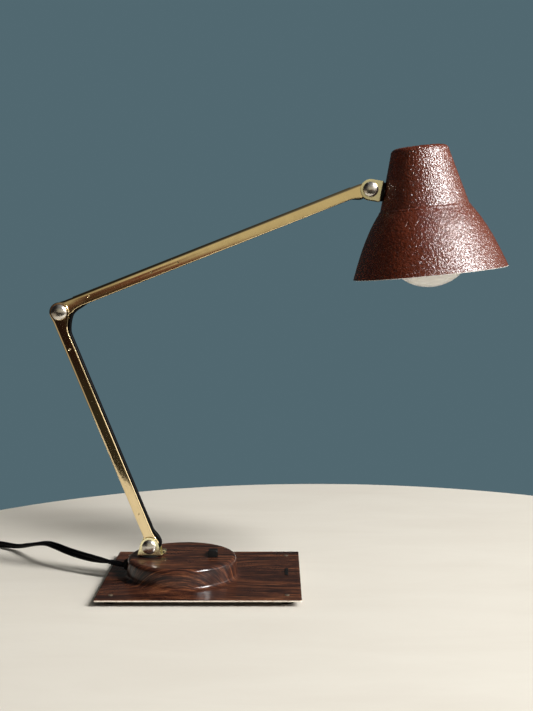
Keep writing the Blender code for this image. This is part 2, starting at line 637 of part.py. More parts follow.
def build_lower_arm():
    outline = (
        arc(0, 0, 5.0, 113, 300, 9) + arc(5.5, 0.6, 3.0, -60, 15, 4)
        + [(7.9, 3.6), (7.2, 6.2), (6.75, 9.0), (LOWER_OPEN, 12.5),
           (LOWER_OPEN, ELBOW_Z - 19.0), (ELBOW_X + 0.95, ELBOW_Z - 16.2),
           (ELBOW_X + 1.7, ELBOW_Z - 13.6), (ELBOW_X + 3.1, ELBOW_Z - 10.9)]
        + arc(ELBOW_X, ELBOW_Z, 8.3, -44, 184, 13)
        + [(LOWER_WEB, ELBOW_Z - 6.0), (LOWER_WEB, 12.0)])
    arm = add(upright("lower_arm", outline, LOWER_HALF), "brass", LOWER_FRAME)
    # the web stops short of both pivots
    web = LOWER_WEB + ARM_SHEET
    channel = [(web, 16.0), (-30, 10.0), (-30, -30), (60, -30), (60, ELBOW_Z + 40),
               (-30, ELBOW_Z + 40), (-30, ELBOW_Z - 11.0), (web, ELBOW_Z - 17.0)]
    combine(arm, upright("cut_lower_channel", channel, LOWER_HALF - ARM_SHEET), LOWER_FRAME)
    pin_hole(arm, "cut_lower_pin_base", LOWER_FRAME)
    pin_hole(arm, "cut_lower_pin_elbow", LOWER_FRAME, ELBOW_X, ELBOW_Z)
    wire = [(3.4, 0, 20.0), (3.4, 0, ELBOW_Z - ARM_WIRE_END)]
    add(tube("lower_arm_wire", wire, ARM_WIRE_R, 2), "cord", LOWER_FRAME, smooth=60)


def build_upper_arm():
    end = UPPER_LENGTH
    outline = (
        arc(0, 0, 7.9, 90, 323, 12)
        + [(9.9, -3.9), (12.2, -2.9), (15.5, -2.0), (20.0, UPPER_BOTTOM),
           (end - 20.0, UPPER_BOTTOM), (end - 15.5, -2.0), (end - 12.2, -2.8), (end - 9.0, -3.8)]
        + arc(end, 0, 6.2, 217, 431, 10) + [(end - 8.0, UPPER_TOP), (7.0, UPPER_TOP)])
    arm = add(upright("upper_arm", outline, UPPER_HALF), "brass", UPPER_FRAME)
    # the web stops short of both pivots
    web = UPPER_TOP - ARM_SHEET
    channel = [(end - 15.0, web), (end - 10.5, 30), (end + 40, 30), (end + 40, -40),
               (-40, -40), (-40, 30), (9.5, 30), (15.0, web)]
    combine(arm, upright("cut_upper_channel", channel, UPPER_HALF - ARM_SHEET), UPPER_FRAME)
    pin_hole(arm, "cut_upper_pin_elbow", UPPER_FRAME)
    pin_hole(arm, "cut_upper_pin_head", UPPER_FRAME, end)
    wire = [(ARM_WIRE_END, 0, 2.2), (end - ARM_WIRE_END, 0, 2.2)]
    add(tube("upper_arm_wire", wire, ARM_WIRE_R, 2), "cord", UPPER_FRAME, smooth=60)


def build_pivots():
    pivot_hardware("base_pivot", SWIVEL_FRAME, (0, 0, PIVOT_RISE), inner_half=BASE_CLEVIS_IN,
                   clevis_half=BASE_CLEVIS_OUT, arm_half=LOWER_HALF, dome_r=6.1)
    pivot_hardware("elbow", LOWER_FRAME, (ELBOW_X, 0, ELBOW_Z), inner_half=LOWER_HALF - ARM_SHEET,
                   clevis_half=LOWER_HALF, arm_half=UPPER_HALF, dome_r=6.7)
    pivot_hardware("head_pivot", HEAD_FRAME, (0, 0, 0), inner_half=HEAD_CLEVIS_IN,
                   clevis_half=HEAD_CLEVIS_OUT, arm_half=UPPER_HALF, dome_r=6.35)


# ================================================================ HEAD CLEVIS
def build_head_clevis():
    ear_r = 8.4
    outline = [(HEAD_WEB_OUT, -ear_r), (HEAD_WEB_OUT, ear_r)] + arc(0, 0, ear_r, 90, 270, 12)
    bracket = add(upright("head_bracket", outline, HEAD_CLEVIS_OUT), "brass", HEAD_FRAME)
    inside = box("cut_head_bracket", (-30, HEAD_WEB_IN), both(HEAD_CLEVIS_IN), both(30))
    combine(bracket, inside, HEAD_FRAME)
    web_middle = (HEAD_WEB_IN + HEAD_WEB_OUT) / 2
    hole(bracket, "cut_head_web", 3.7, (web_middle, 0, 0), X_AXIS, 6, steps=18, parent=HEAD_FRAME)
    pin_hole(bracket, "cut_head_pin", HEAD_FRAME)


def build_head_swivel():
    """Nipple through the shade wall, with its washers and nut."""
    nipple = [(2.3, 20.6), (3.1, 20.6), (3.4, 20.2), (3.4, 8.0), (4.4, 8.0), (4.4, 6.9),
              (2.3, 6.9)]
    add(turned("head_nipple", nipple, 20), "steel", HEAD_FRAME, turn=TO_RIGHT)
    spacer = ring("head_spacer_washer", 7.9, HEAD_HOLE_R, HEAD_WEB_OUT + 0.25, WALL - 0.35, 28)
    add(spacer, "rubber", ROLL_FRAME, turn=TO_RIGHT)
    spring = ring("head_spring_washer", 6.6, 3.7, WALL_INSIDE + 2.05, WALL_INSIDE + 2.75, 20)
    add(spring, "steel", ROLL_FRAME, turn=TO_RIGHT)
    hex_nut("head_lock_nut", 11.0, 3.65, WALL_INSIDE + 3.05, WALL_INSIDE + 6.0, ROLL_FRAME,
            TO_RIGHT)


# ================================================================ SHADE
def neck_r(z):
    """Neck radius; the taper sets the wall square to the clevis axis."""
    return 25.5 + (94.5 - z) * tan(SHADE_LEAN)


def bell_r(z):
    """Bell below the crease: steep at the rim, wider just under the crease."""
    u = z / CREASE
    return SHADE_RIM_R - 19.2 * u - 3.3 * u ** 2 - 3.7 * u ** 4


def shade_profile():
    """Outside of the shade from the top's centre down to the rim."""
    corner_z = SHADE_H - NECK_CORNER_R
    corner_x = neck_r(corner_z) - NECK_CORNER_R
    bell_steps = 6
    bell_heights = [CREASE * (1 - i / bell_steps) for i in range(bell_steps + 1)]
    profile = [(0, SHADE_H), (neck_r(SHADE_H) - NECK_CORNER_R - 1.2, SHADE_H - 0.15)]
    profile += [(corner_x + NECK_CORNER_R * sin(radians(a)),
                 corner_z + NECK_CORNER_R * cos(radians(a))) for a in (25, 52, 74)]
    profile += [(neck_r(z), z) for z in (88, 62)]
    profile += [(neck_r(55.6) + 0.3, 55.6), (bell_r(CREASE) + 0.35, CREASE + 0.25)]
    return profile + [(bell_r(z), z) for z in bell_heights]


def build_shade():
    outer = shade_profile()
    inner = inset(outer, SHADE_T)
    inner[-1] = (outer[-1][0] - SHADE_T * 1.05, outer[-1][1] + 0.02)
    shade = add(turned("shade", outer + inner[::-1], 36), "paint", SHADE_FRAME, smooth=28)
    hole(shade, "cut_shade_nipple", HEAD_HOLE_R, (WALL, 0, 0), X_AXIS, 8, steps=18,
         parent=ROLL_FRAME)


def wall_x(z, depth):
    """x on the arm side of the neck, at a depth inside its inner face."""
    return -(neck_r(z) - (SHADE_T + depth) / cos(SHADE_LEAN))


def build_strap():
    """Strap from the nipple up and over the socket."""
    near = 0.45                # gap from the shade wall
    far = near + 1.3
    foot_z, under, top = 66, 96.0, 97.2
    tip_x = 5.5
    outline = [(wall_x(foot_z, near), foot_z), (wall_x(foot_z, far), foot_z),
               (wall_x(95.4, far), under), (tip_x, under), (tip_x, top),
               (wall_x(top, near) + 0.2, top)]
    strap = add(upright("socket_strap", outline, 5.0), "steel", SHADE_FRAME)
    hole(strap, "cut_strap_nipple", HEAD_HOLE_R, (WALL + 1.6, 0, 0), X_AXIS, 8, steps=18,
         parent=ROLL_FRAME)
    hole(strap, "cut_strap_screw", 1.9, (0, 0, (under + top) / 2), Z_AXIS, 6, steps=14,
         parent=SHADE_FRAME)


# name, finish, steps, profile of (radius, height above the rim)
SOCKET_PIECES = [
    ("lamp_socket", "phenolic", 24,
     [(2.0, 95.6), (14.5, 95.6), (17.0, 93.5), (17.2, 60.0), (16.6, 58.0), (14.6, 58.0),
      (14.6, 89.0), (2.0, 89.0)]),
    ("socket_screw", "steel", 14,
     [(0, 99.4), (2.0, 99.2), (3.2, 98.3), (3.3, 97.5), (1.6, 97.5), (1.6, 89.8), (0, 89.8)]),
    ("socket_screw_shell", "brass", 24,
     [(13.75, 88.4), (14.3, 88.4), (14.3, 61.0), (13.75, 61.0)]),
    ("bulb_base", "brass", 20,
     [(0, 87.0), (3.2, 86.8), (4.6, 85.4), (6.0, 84.0), (12.4, 82.4), (13.3, 80.5),
      (13.3, 62.5), (12.5, 61.6), (12.1, 62.2), (12.1, 79.6), (0, 81.2)]),
]


def build_socket():
    for name, finish, steps, profile in SOCKET_PIECES:
        add(turned(name, profile, steps), finish, SHADE_FRAME)


def build_bulb():
    """Hollow reflector bulb, from its neck down to the crown of its face."""
    bulb_r, lowest = 31.75, -11.7
    edge_r, face_r, glass_t = 7.0, 47.0, 0.9
    face_z = lowest + face_r
    outer = [(11.3, 76.0), (11.4, 61.0), (14.5, 50.5), (22.5, 34.0), (29.2, 18.0), (bulb_r, 6.0)]
    outer += arc(bulb_r - edge_r, 2.6, edge_r, -10, -40, 1)
    outer += [(face_r * sin(radians(a)), face_z - face_r * cos(radians(a))) for a in (26, 16, 7)]
    outer += [(0, lowest)]
    inner = inset(outer, glass_t)
    inner[0] = (outer[0][0] - glass_t, outer[0][1])
    inner[-1] = (0, lowest + glass_t)
    add(turned("bulb_glass", inner[::-1] + outer, 20), "bulb", SHADE_FRAME, smooth=60)


def on_clevis_axis(distance):
    """A point along the clevis axis from the head pivot, in the shade's frame."""
    return (-SHADE_OFFSET + distance * cos(SHADE_LEAN), 0,
            SHADE_AXIAL - distance * sin(SHADE_LEAN))


def build_head_wire():
    """Wire out of the nipple and up beside the socket."""
    points = [on_clevis_axis(15.5), on_clevis_axis(20.8), (-21.9, 0, 68.4), (-20.4, 0, 72.0),
              (-19.9, 0, 80.0), (-19.7, 0, 90.0)]
    add(tube("head_wire", smooth_path(points, 3), 1.25, 1), "cord", SHADE_FRAME, smooth=60)


for build in (build_pan, build_cover, build_felt, build_weight, build_cover_screws, build_feet,
              build_inlay, build_switch_body, build_rocker, build_bushing, build_cord,
              build_plug, build_leads, build_base_clevis, build_base_swivel, build_lower_arm,
              build_upper_arm, build_pivots, build_head_clevis, build_head_swivel, build_shade,
              build_strap, build_socket, build_bulb, build_head_wire):
    build()

bpy.context.view_layer.update()
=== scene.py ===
"""Looks for the articulated desk lamp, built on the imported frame."""
import json
from math import atan2, cos, exp, hypot, pi, radians, sin, sqrt, tan

import bmesh
import bpy
from mathutils import Matrix, Vector, noise

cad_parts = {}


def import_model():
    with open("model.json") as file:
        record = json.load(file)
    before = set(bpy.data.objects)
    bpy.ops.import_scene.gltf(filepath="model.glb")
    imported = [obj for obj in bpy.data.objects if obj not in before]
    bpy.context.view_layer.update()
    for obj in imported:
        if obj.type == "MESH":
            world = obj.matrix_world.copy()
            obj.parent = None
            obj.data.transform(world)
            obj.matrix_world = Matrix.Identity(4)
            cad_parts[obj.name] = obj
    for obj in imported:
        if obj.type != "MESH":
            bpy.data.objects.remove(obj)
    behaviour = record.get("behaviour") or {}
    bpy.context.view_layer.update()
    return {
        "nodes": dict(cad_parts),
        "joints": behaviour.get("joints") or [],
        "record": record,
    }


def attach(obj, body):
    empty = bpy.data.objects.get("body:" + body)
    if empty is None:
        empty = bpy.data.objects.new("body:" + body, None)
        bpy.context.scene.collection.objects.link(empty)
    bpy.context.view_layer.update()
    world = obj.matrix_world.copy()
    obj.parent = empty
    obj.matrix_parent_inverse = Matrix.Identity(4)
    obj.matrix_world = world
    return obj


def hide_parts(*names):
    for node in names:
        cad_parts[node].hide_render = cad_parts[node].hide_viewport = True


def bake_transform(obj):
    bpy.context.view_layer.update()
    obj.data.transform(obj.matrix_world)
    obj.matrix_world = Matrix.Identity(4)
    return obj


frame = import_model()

NODES = frame["nodes"]
JOINTS = {j["name"]: j for j in frame["joints"]}
MM = 0.001


# ------------------------------------------------------------------ node helpers
def new_material(name, **inputs):
    mat = bpy.data.materials.new(name)
    mat.use_nodes = True
    bsdf = mat.node_tree.nodes["Principled BSDF"]
    for key, value in inputs.items():
        bsdf.inputs[key.replace("_", " ")].default_value = value
    return mat, mat.node_tree, bsdf


def add(tree, kind, inputs=None, **props):
    n = tree.nodes.new(kind)
    for key, value in props.items():
        setattr(n, key, value)
    for key, value in (inputs or {}).items():
        if isinstance(value, bpy.types.NodeSocket):
            tree.links.new(value, n.inputs[key])
        else:
            n.inputs[key].default_value = value
    return n


def where(tree, scale, uv=False, rot=(0, 0, 0)):
    """Object (or UV) coordinates, stretched."""
    tex = add(tree, "ShaderNodeTexCoord")
    m = add(tree, "ShaderNodeMapping", {"Vector": tex.outputs["UV" if uv else "Object"], "Rotation": rot, "Scale": scale})
    return m.outputs["Vector"]


def noise_tex(tree, vector, scale, detail=3.0, rough=0.5, distort=0.0):
    n = add(tree, "ShaderNodeTexNoise", {"Vector": vector, "Scale": scale, "Detail": detail, "Roughness": rough, "Distortion": distort})
    return n.outputs["Fac"]


def ramp(tree, fac, stops, mode="LINEAR"):
    r = add(tree, "ShaderNodeValToRGB", {"Fac": fac})
    r.color_ramp.interpolation = mode
    els = r.color_ramp.elements
    while len(els) < len(stops):
        els.new(0.5)
    for e, (pos, col) in zip(els, stops):
        e.position = pos
        e.color = (*col, 1.0) if isinstance(col, tuple) else (col, col, col, 1.0)
    return r.outputs["Color"]


def mix(tree, fac, a, b, blend="MIX"):
    m = add(tree, "ShaderNodeMix", data_type="RGBA", blend_type=blend, clamp_factor=True)
    for key, value in ((0, fac), (6, a), (7, b)):
        if isinstance(value, bpy.types.NodeSocket):
            tree.links.new(value, m.inputs[key])
        elif key == 0:
            m.inputs[key].default_value = value
        else:
            m.inputs[key].default_value = (*value, 1.0)
    return m.outputs[2]


def maths(tree, op, a, b=0.0, clamp=False):
    m = add(tree, "ShaderNodeMath", operation=op, use_clamp=clamp)
    for key, value in ((0, a), (1, b)):
        if isinstance(value, bpy.types.NodeSocket):
            tree.links.new(value, m.inputs[key])
        else:
            m.inputs[key].default_value = value
    return m.outputs[0]


def remap(tree, value, lo, hi, to_lo=0.0, to_hi=1.0):
    r = add(tree, "ShaderNodeMapRange", {"Value": value, "From Min": lo, "From Max": hi, "To Min": to_lo, "To Max": to_hi})
    return r.outputs["Result"]


def bump(tree, bsdf, height, distance, strength=1.0, base=None):
    inputs = {"Height": height, "Distance": distance, "Strength": strength}
    if base is not None:
        inputs["Normal"] = base
    b = add(tree, "ShaderNodeBump", inputs)
    tree.links.new(b.outputs["Normal"], bsdf.inputs["Normal"])
    return b.outputs["Normal"]


def link(tree, out, bsdf, name):
    tree.links.new(out, bsdf.inputs[name])


# ------------------------------------------------------------------ materials
def wood_print(name):
    """Printed rosewood film under a gloss coat; uses the flat-sheet map of the pan."""
    mat, t, b = new_material(name, Roughness=0.3, Coat_Weight=0.5, Coat_Roughness=0.12, Specular_IOR_Level=0.03)
    wide = noise_tex(t, where(t, (1.5, 19.0, 1.0), True), 1.0, 4.0, 0.55, 0.7)
    thin = noise_tex(t, where(t, (4.4, 120.0, 1.0), True), 1.0, 5.0, 0.68, 0.4)
    pore = noise_tex(t, where(t, (18.0, 380.0, 1.0), True), 1.0, 2.0, 0.5, 0.0)
    both = maths(t, "ADD", maths(t, "MULTIPLY", wide, 0.48), maths(t, "MULTIPLY", thin, 0.58))
    col = ramp(t, both, [(0.44, (0.011, 0.006, 0.006)), (0.505, (0.030, 0.0115, 0.009)), (0.55, (0.075, 0.026, 0.0145)),
                         (0.60, (0.165, 0.056, 0.025)), (0.68, (0.31, 0.128, 0.057))])
    dark = remap(t, pore, 0.48, 0.62, 0.0, 0.8)
    col = mix(t, dark, col, (0.014, 0.006, 0.005))
    link(t, col, b, "Base Color")
    wear = noise_tex(t, where(t, (40, 40, 40)), 1.0, 5.0, 0.6)
    link(t, remap(t, wear, 0.3, 0.75, 0.22, 0.42), b, "Roughness")
    link(t, remap(t, wear, 0.3, 0.75, 0.11, 0.2), b, "Coat Roughness")
    bump(t, b, maths(t, "ADD", maths(t, "MULTIPLY", dark, -0.5), wear), 0.00004, 0.5)
    return mat


def sheet_edge(name):
    mat, t, b = new_material(name, Metallic=0.1, Roughness=0.4)
    n = noise_tex(t, where(t, (260, 260, 1400)), 1.0, 4.0, 0.6)
    link(t, ramp(t, n, [(0.3, (0.35, 0.26, 0.19)), (0.45, (0.72, 0.64, 0.54)), (0.72, (0.86, 0.8, 0.7))]), b, "Base Color")
    bump(t, b, n, 0.00006, 0.5)
    return mat


def brass(name, along, tone=(0.80, 0.60, 0.29), rough=(0.07, 0.17), tarnish=0.25):
    """Brushed, lacquered brass; along is the stretch that lines the brush marks up."""
    mat, t, b = new_material(name, Metallic=1.0, Roughness=0.3)
    brush = noise_tex(t, where(t, along), 1.0, 4.0, 0.65)
    blot = noise_tex(t, where(t, (70, 70, 70)), 1.0, 5.0, 0.62, 0.6)
    fine = noise_tex(t, where(t, (2600, 2600, 2600)), 1.0, 3.0, 0.6)
    dull = tuple(c * k for c, k in zip(tone, (0.62, 0.55, 0.42)))
    col = mix(t, remap(t, blot, 0.42, 0.72, 0.0, tarnish), tone, dull)
    col = mix(t, remap(t, brush, 0.35, 0.7, 0.0, 0.35), col, tuple(min(1.0, c * 1.12) for c in tone))
    col = mix(t, remap(t, fine, 0.66, 0.74, 0.0, 0.12), col, tuple(c * 0.5 for c in tone))
    link(t, col, b, "Base Color")
    r = maths(t, "ADD", maths(t, "MULTIPLY", brush, 0.5), maths(t, "MULTIPLY", blot, 0.5))
    link(t, remap(t, r, 0.3, 0.7, *rough), b, "Roughness")
    bump(t, b, maths(t, "ADD", brush, maths(t, "MULTIPLY", fine, 0.05)), 0.000003, 0.3)
    return mat


def nickel(name):
    mat, t, b = new_material(name, Metallic=1.0, Roughness=0.15)
    blot = noise_tex(t, where(t, (150, 150, 150)), 1.0, 5.0, 0.6, 0.5)
    pits = noise_tex(t, where(t, (1300, 1300, 1300)), 1.0, 2.0, 0.5)
    col = mix(t, remap(t, blot, 0.45, 0.7, 0.0, 0.5), (0.74, 0.70, 0.63), (0.42, 0.37, 0.31))
    col = mix(t, remap(t, pits, 0.68, 0.74, 0.0, 0.8), col, (0.12, 0.09, 0.07))
    link(t, col, b, "Base Color")
    link(t, remap(t, blot, 0.3, 0.75, 0.16, 0.36), b, "Roughness")
    bump(t, b, maths(t, "ADD", blot, maths(t, "MULTIPLY", pits, 0.5)), 0.00003, 0.35)
    return mat


def wrinkle_enamel(name):
    """Red-brown wrinkle paint; the larger wrinkles are in the mesh, the fine ones here."""
    mat, t, b = new_material(name, Roughness=0.26, Specular_IOR_Level=0.85)
    at = where(t, (1, 1, 1))
    warp = add(t, "ShaderNodeTexNoise", {"Vector": at, "Scale": 420.0, "Detail": 2.0})
    bent = add(t, "ShaderNodeVectorMath",
               {0: warp.outputs["Color"], 1: (0.0022, 0.0022, 0.0022)}, operation="MULTIPLY")
    moved = add(t, "ShaderNodeVectorMath", {0: bent.outputs[0], 1: at}, operation="ADD")
    veins = add(t, "ShaderNodeTexNoise", {"Vector": moved.outputs[0], "Scale": 520.0, "Detail": 2.0, "Roughness": 0.55})
    ridge = maths(t, "ABSOLUTE", maths(t, "SUBTRACT", veins.outputs["Fac"], 0.5))
    ridge = remap(t, ridge, 0.0, 0.16, 1.0, 0.0)
    tone = noise_tex(t, at, 130.0, 4.0, 0.6)
    col = mix(t, remap(t, tone, 0.35, 0.7), (0.086, 0.0132, 0.0038), (0.124, 0.0215, 0.0068))
    # wrinkle crests painted a lighter red-brown and the valleys left darker: painted highlight and painted shade on the
    # fine wrinkles
    col = mix(t, maths(t, "MULTIPLY", ridge, 0.3), col, (0.17, 0.034, 0.012))
    link(t, col, b, "Base Color")
    link(t, remap(t, ridge, 0.0, 1.0, 0.29, 0.21), b, "Roughness")
    bump(t, b, ridge, 0.00024, 0.8)
    return mat


def white_enamel(name):
    mat, t, b = new_material(name, Roughness=0.4)
    n = noise_tex(t, where(t, (60, 60, 60)), 1.0, 4.0, 0.6)
    fine = noise_tex(t, where(t, (700, 700, 700)), 1.0, 3.0, 0.6)
    link(t, mix(t, remap(t, n, 0.35, 0.7), (0.78, 0.76, 0.71), (0.70, 0.67, 0.60)), b, "Base Color")
    bump(t, b, fine, 0.00006, 0.4)
    return mat


def bulb_skin(name):
    """Frosted face, silvered sides above it."""
    mat, t, b = new_material(name, Roughness=0.36)
    n = noise_tex(t, where(t, (240, 240, 240)), 1.0, 3.0, 0.5)
    tex = add(t, "ShaderNodeTexCoord")
    z = add(t, "ShaderNodeSeparateXYZ", {0: tex.outputs["Object"]}).outputs["Z"]
    up = remap(t, z, 0.0085, 0.0105)
    link(t, mix(t, up, (0.86, 0.845, 0.81), (0.74, 0.74, 0.73)), b, "Base Color")
    link(t, maths(t, "MULTIPLY", up, 0.85), b, "Metallic")
    link(t, remap(t, n, 0.3, 0.7, 0.3, 0.44), b, "Roughness")
    b.inputs["Subsurface Weight"].default_value = 0.25
    b.inputs["Subsurface Radius"].default_value = (0.004, 0.0038, 0.003)
    bump(t, b, n, 0.00002, 0.3)
    return mat


def plastic(name, colour, rough, grain=900.0, depth=0.00003, spec=0.5):
    mat, t, b = new_material(name, Specular_IOR_Level=spec)
    n = noise_tex(t, where(t, (grain,) * 3), 1.0, 4.0, 0.6)
    big = noise_tex(t, where(t, (60, 60, 60)), 1.0, 4.0, 0.6)
    lighter = tuple(min(1.0, c * 1.7 + 0.0015) for c in colour)
    link(t, mix(t, remap(t, big, 0.4, 0.7), colour, lighter), b, "Base Color")
    link(t, remap(t, big, 0.3, 0.7, rough - 0.06, rough + 0.08), b, "Roughness")
    bump(t, b, n, depth, 0.5)
    return mat


def steel(name, tone, rough, scale=(500, 500, 500)):
    mat, t, b = new_material(name, Metallic=0.95)
    n = noise_tex(t, where(t, scale), 1.0, 4.0, 0.6)
    big = noise_tex(t, where(t, (90, 90, 90)), 1.0, 5.0, 0.6)
    link(t, mix(t, remap(t, big, 0.35, 0.7), tone, tuple(c * 0.65 for c in tone)), b, "Base Color")
    link(t, remap(t, n, 0.3, 0.7, rough - 0.08, rough + 0.12), b, "Roughness")
    bump(t, b, n, 0.00003, 0.4)
    return mat


def felt_pile(name):
    mat, t, b = new_material(name, Roughness=0.95, Sheen_Weight=0.5)
    n = noise_tex(t, where(t, (1500, 1500, 1500)), 1.0, 4.0, 0.7, 1.0)
    link(t, ramp(t, n, [(0.3, (0.008, 0.028, 0.015)), (0.7, (0.035, 0.09, 0.05))]), b, "Base Color")
    bump(t, b, n, 0.0003, 0.7)
    return mat


M_WOOD = wood_print("rosewood_print")
M_EDGE = sheet_edge("bare_sheet_edge")
M_ARM_L = brass("brass_lower", (900, 900, 22), tone=(0.92, 0.74, 0.45), rough=(0.05, 0.11), tarnish=0.2)
M_ARM_U = brass("brass_upper", (22, 900, 900), tone=(0.90, 0.71, 0.40), rough=(0.05, 0.13))
M_BRACKET = brass("brass_bracket", (300, 300, 300), tone=(0.98, 0.90, 0.58), rough=(0.18, 0.3), tarnish=0.12)
M_CONTACT = brass("brass_contact", (500, 500, 500), rough=(0.25, 0.4), tarnish=0.15)
M_NICKEL = nickel("nickel")
M_PAINT = wrinkle_enamel("wrinkle_enamel")
M_WHITE = white_enamel("white_enamel")
M_BULB = bulb_skin("bulb_skin")
M_BLACK = plastic("black_plastic", (0.003, 0.003, 0.0033), 0.3, spec=0.3)
M_PHENOLIC = plastic("phenolic", (0.010, 0.0075, 0.006), 0.42, 400.0, 0.00006)
M_RUBBER = plastic("rubber", (0.004, 0.004, 0.004), 0.7, 700.0, 0.00008, 0.15)
M_CORD = plastic("vinyl_cord", (0.0022, 0.0022, 0.0026), 0.45, 500.0, 0.00004, 0.05)
M_FIBRE = plastic("vulcanised_fibre", (0.05, 0.014, 0.01), 0.62, 600.0, 0.00006)
M_STEEL = steel("zinc_steel", (0.5, 0.5, 0.49), 0.36)
M_IRON = steel("cast_iron", (0.075, 0.075, 0.078), 0.6, (260, 260, 260))
M_FELT = felt_pile("felt")
M_RIVET = steel("oiled_rivet", (0.42, 0.34, 0.25), 0.38)
SLOT_MATERIAL = {"woodgrain": M_WOOD, "zinc_steel": M_STEEL, "felt": M_FELT, "cast_weight": M_IRON, "rubber": M_RUBBER,
                 "nickel": M_NICKEL, "black_plastic": M_BLACK, "phenolic": M_PHENOLIC, "cord": M_CORD, "brass": M_BRACKET,
                 "contact_brass": M_CONTACT, "fibre": M_FIBRE, "wrinkle_paint": M_PAINT, "bulb_glass": M_BULB}
SLOT_OF = {s["node"]: s["material_slot"] for s in frame["record"]["subparts"]}
for node_name, node_obj in NODES.items():
    node_obj.data.materials.clear()
    node_obj.data.materials.append(SLOT_MATERIAL[SLOT_OF[node_name]])
    for poly in node_obj.data.polygons:
        poly.material_index = 0
# the bottom cover is drawn in the dark cast-iron finish instead of its zinc steel: painted shade for the shadowed gap
# under the pan
NODES["bottom_cover"].data.materials[0] = M_IRON

# ------------------------------------------------------------------ mesh helpers
def arc(cx, cy, r, a0, a1, n):
    return [(cx + r * cos(radians(a0 + (a1 - a0) * i / n)), cy + r * sin(radians(a0 + (a1 - a0) * i / n))) for i in range(n + 1)]


def fillet(points, radii, n=4, closed=True):
    """Round the corners of a profile; radii holds one radius per point."""
    out = []
    m = len(points)
    for i, p in enumerate(points):
        r = radii[i] if isinstance(radii, (list, tuple)) else radii
        if r <= 0 or (not closed and i in (0, m - 1)):
            out.append(tuple(p))
            continue
        p, a, b = Vector(p), Vector(points[i - 1]), Vector(points[(i + 1) % m])
        u, v = (a - p), (b - p)
        lu, lv = u.length, v.length
        u, v = u / lu, v / lv
        half = u.angle(v) / 2
        if half > radians(88):
            out.append(tuple(p))
            continue
        d = min(r / tan(half), lu * 0.49, lv * 0.49)
        rr = d * tan(half)
        c = p + (u + v).normalized() * (rr / sin(half))
        s, e = p + u * d - c, p + v * d - c
        turn = s.angle_signed(e)
        for k in range(n + 1):
            ang = -turn * k / n
            out.append(tuple(c + Vector((s.x * cos(ang) - s.y * sin(ang), s.x * sin(ang) + s.y * cos(ang)))))
    return out


def smooth_path(points, per_leg):
    pts = [Vector(p) for p in points]
    ext = [2 * pts[0] - pts[1]] + pts + [2 * pts[-1] - pts[-2]]
    out = []
    for i in range(1, len(ext) - 2):
        p0, p1, p2, p3 = ext[i - 1:i + 3]
        for k in range(per_leg):
            t = k / per_leg
            out.append(0.5 * ((2 * p1) + (p2 - p0) * t + (2 * p0 - 5 * p1 + 4 * p2 - p3) * t * t
                              + (3 * p1 - p0 - 3 * p2 + p3) * t ** 3))
    out.append(pts[-1])
    return out


def to_object(name, bm, mats, smooth=35.0):
    bmesh.ops.recalc_face_normals(bm, faces=bm.faces)
    mesh = bpy.data.meshes.new(name)
    bm.to_mesh(mesh)
    bm.free()
    for m in mats if isinstance(mats, (list, tuple)) else [mats]:
        mesh.materials.append(m)
    mesh.shade_smooth()
    mesh.set_sharp_from_angle(angle=radians(smooth))
    obj = bpy.data.objects.new(name, mesh)
    bpy.context.scene.collection.objects.link(obj)
    return obj


def lathe_bm(profile, steps, closed=None):
    """A profile of (r, z) in mm turned about +Z; closed loops join last to first."""
    if closed is None:
        closed = profile[0][0] > 1e-6 or profile[-1][0] > 1e-6
    bm = bmesh.new()
    rings = []
    for r, z in profile:
        if r < 1e-6:
            rings.append([bm.verts.new((0, 0, z * MM))])
        else:
            rings.append([bm.verts.new((r * MM * cos(2 * pi * k / steps), r * MM * sin(2 * pi * k / steps), z * MM)) for k in range(steps)])
    pairs = list(zip(rings, rings[1:])) + ([(rings[-1], rings[0])] if closed else [])
    for a, b in pairs:
        for k in range(steps):
            j = (k + 1) % steps
            quad = [a[k % len(a)], a[j % len(a)], b[j % len(b)], b[k % len(b)]]
            face = []
            for v in quad:
                if v not in face:
                    face.append(v)
            if len(face) > 2:
                bm.faces.new(face)
    return bm


def lathe(name, profile, mats, steps=64, smooth=35.0):
    return to_object(name, lathe_bm(profile, steps), mats, smooth)


def prism_bm(outline, y0, y1):
    """An outline in XZ (mm) standing between y0 and y1."""
    bm = bmesh.new()
    front = [bm.verts.new((x * MM, y0 * MM, z * MM)) for x, z in outline]
    back = [bm.verts.new((x * MM, y1 * MM, z * MM)) for x, z in outline]
    bm.faces.new(front)
    bm.faces.new(list(reversed(back)))
    n = len(outline)
    for i in range(n):
        j = (i + 1) % n
        bm.faces.new((front[j], front[i], back[i], back[j]))
    bmesh.ops.recalc_face_normals(bm, faces=bm.faces)
    return bm


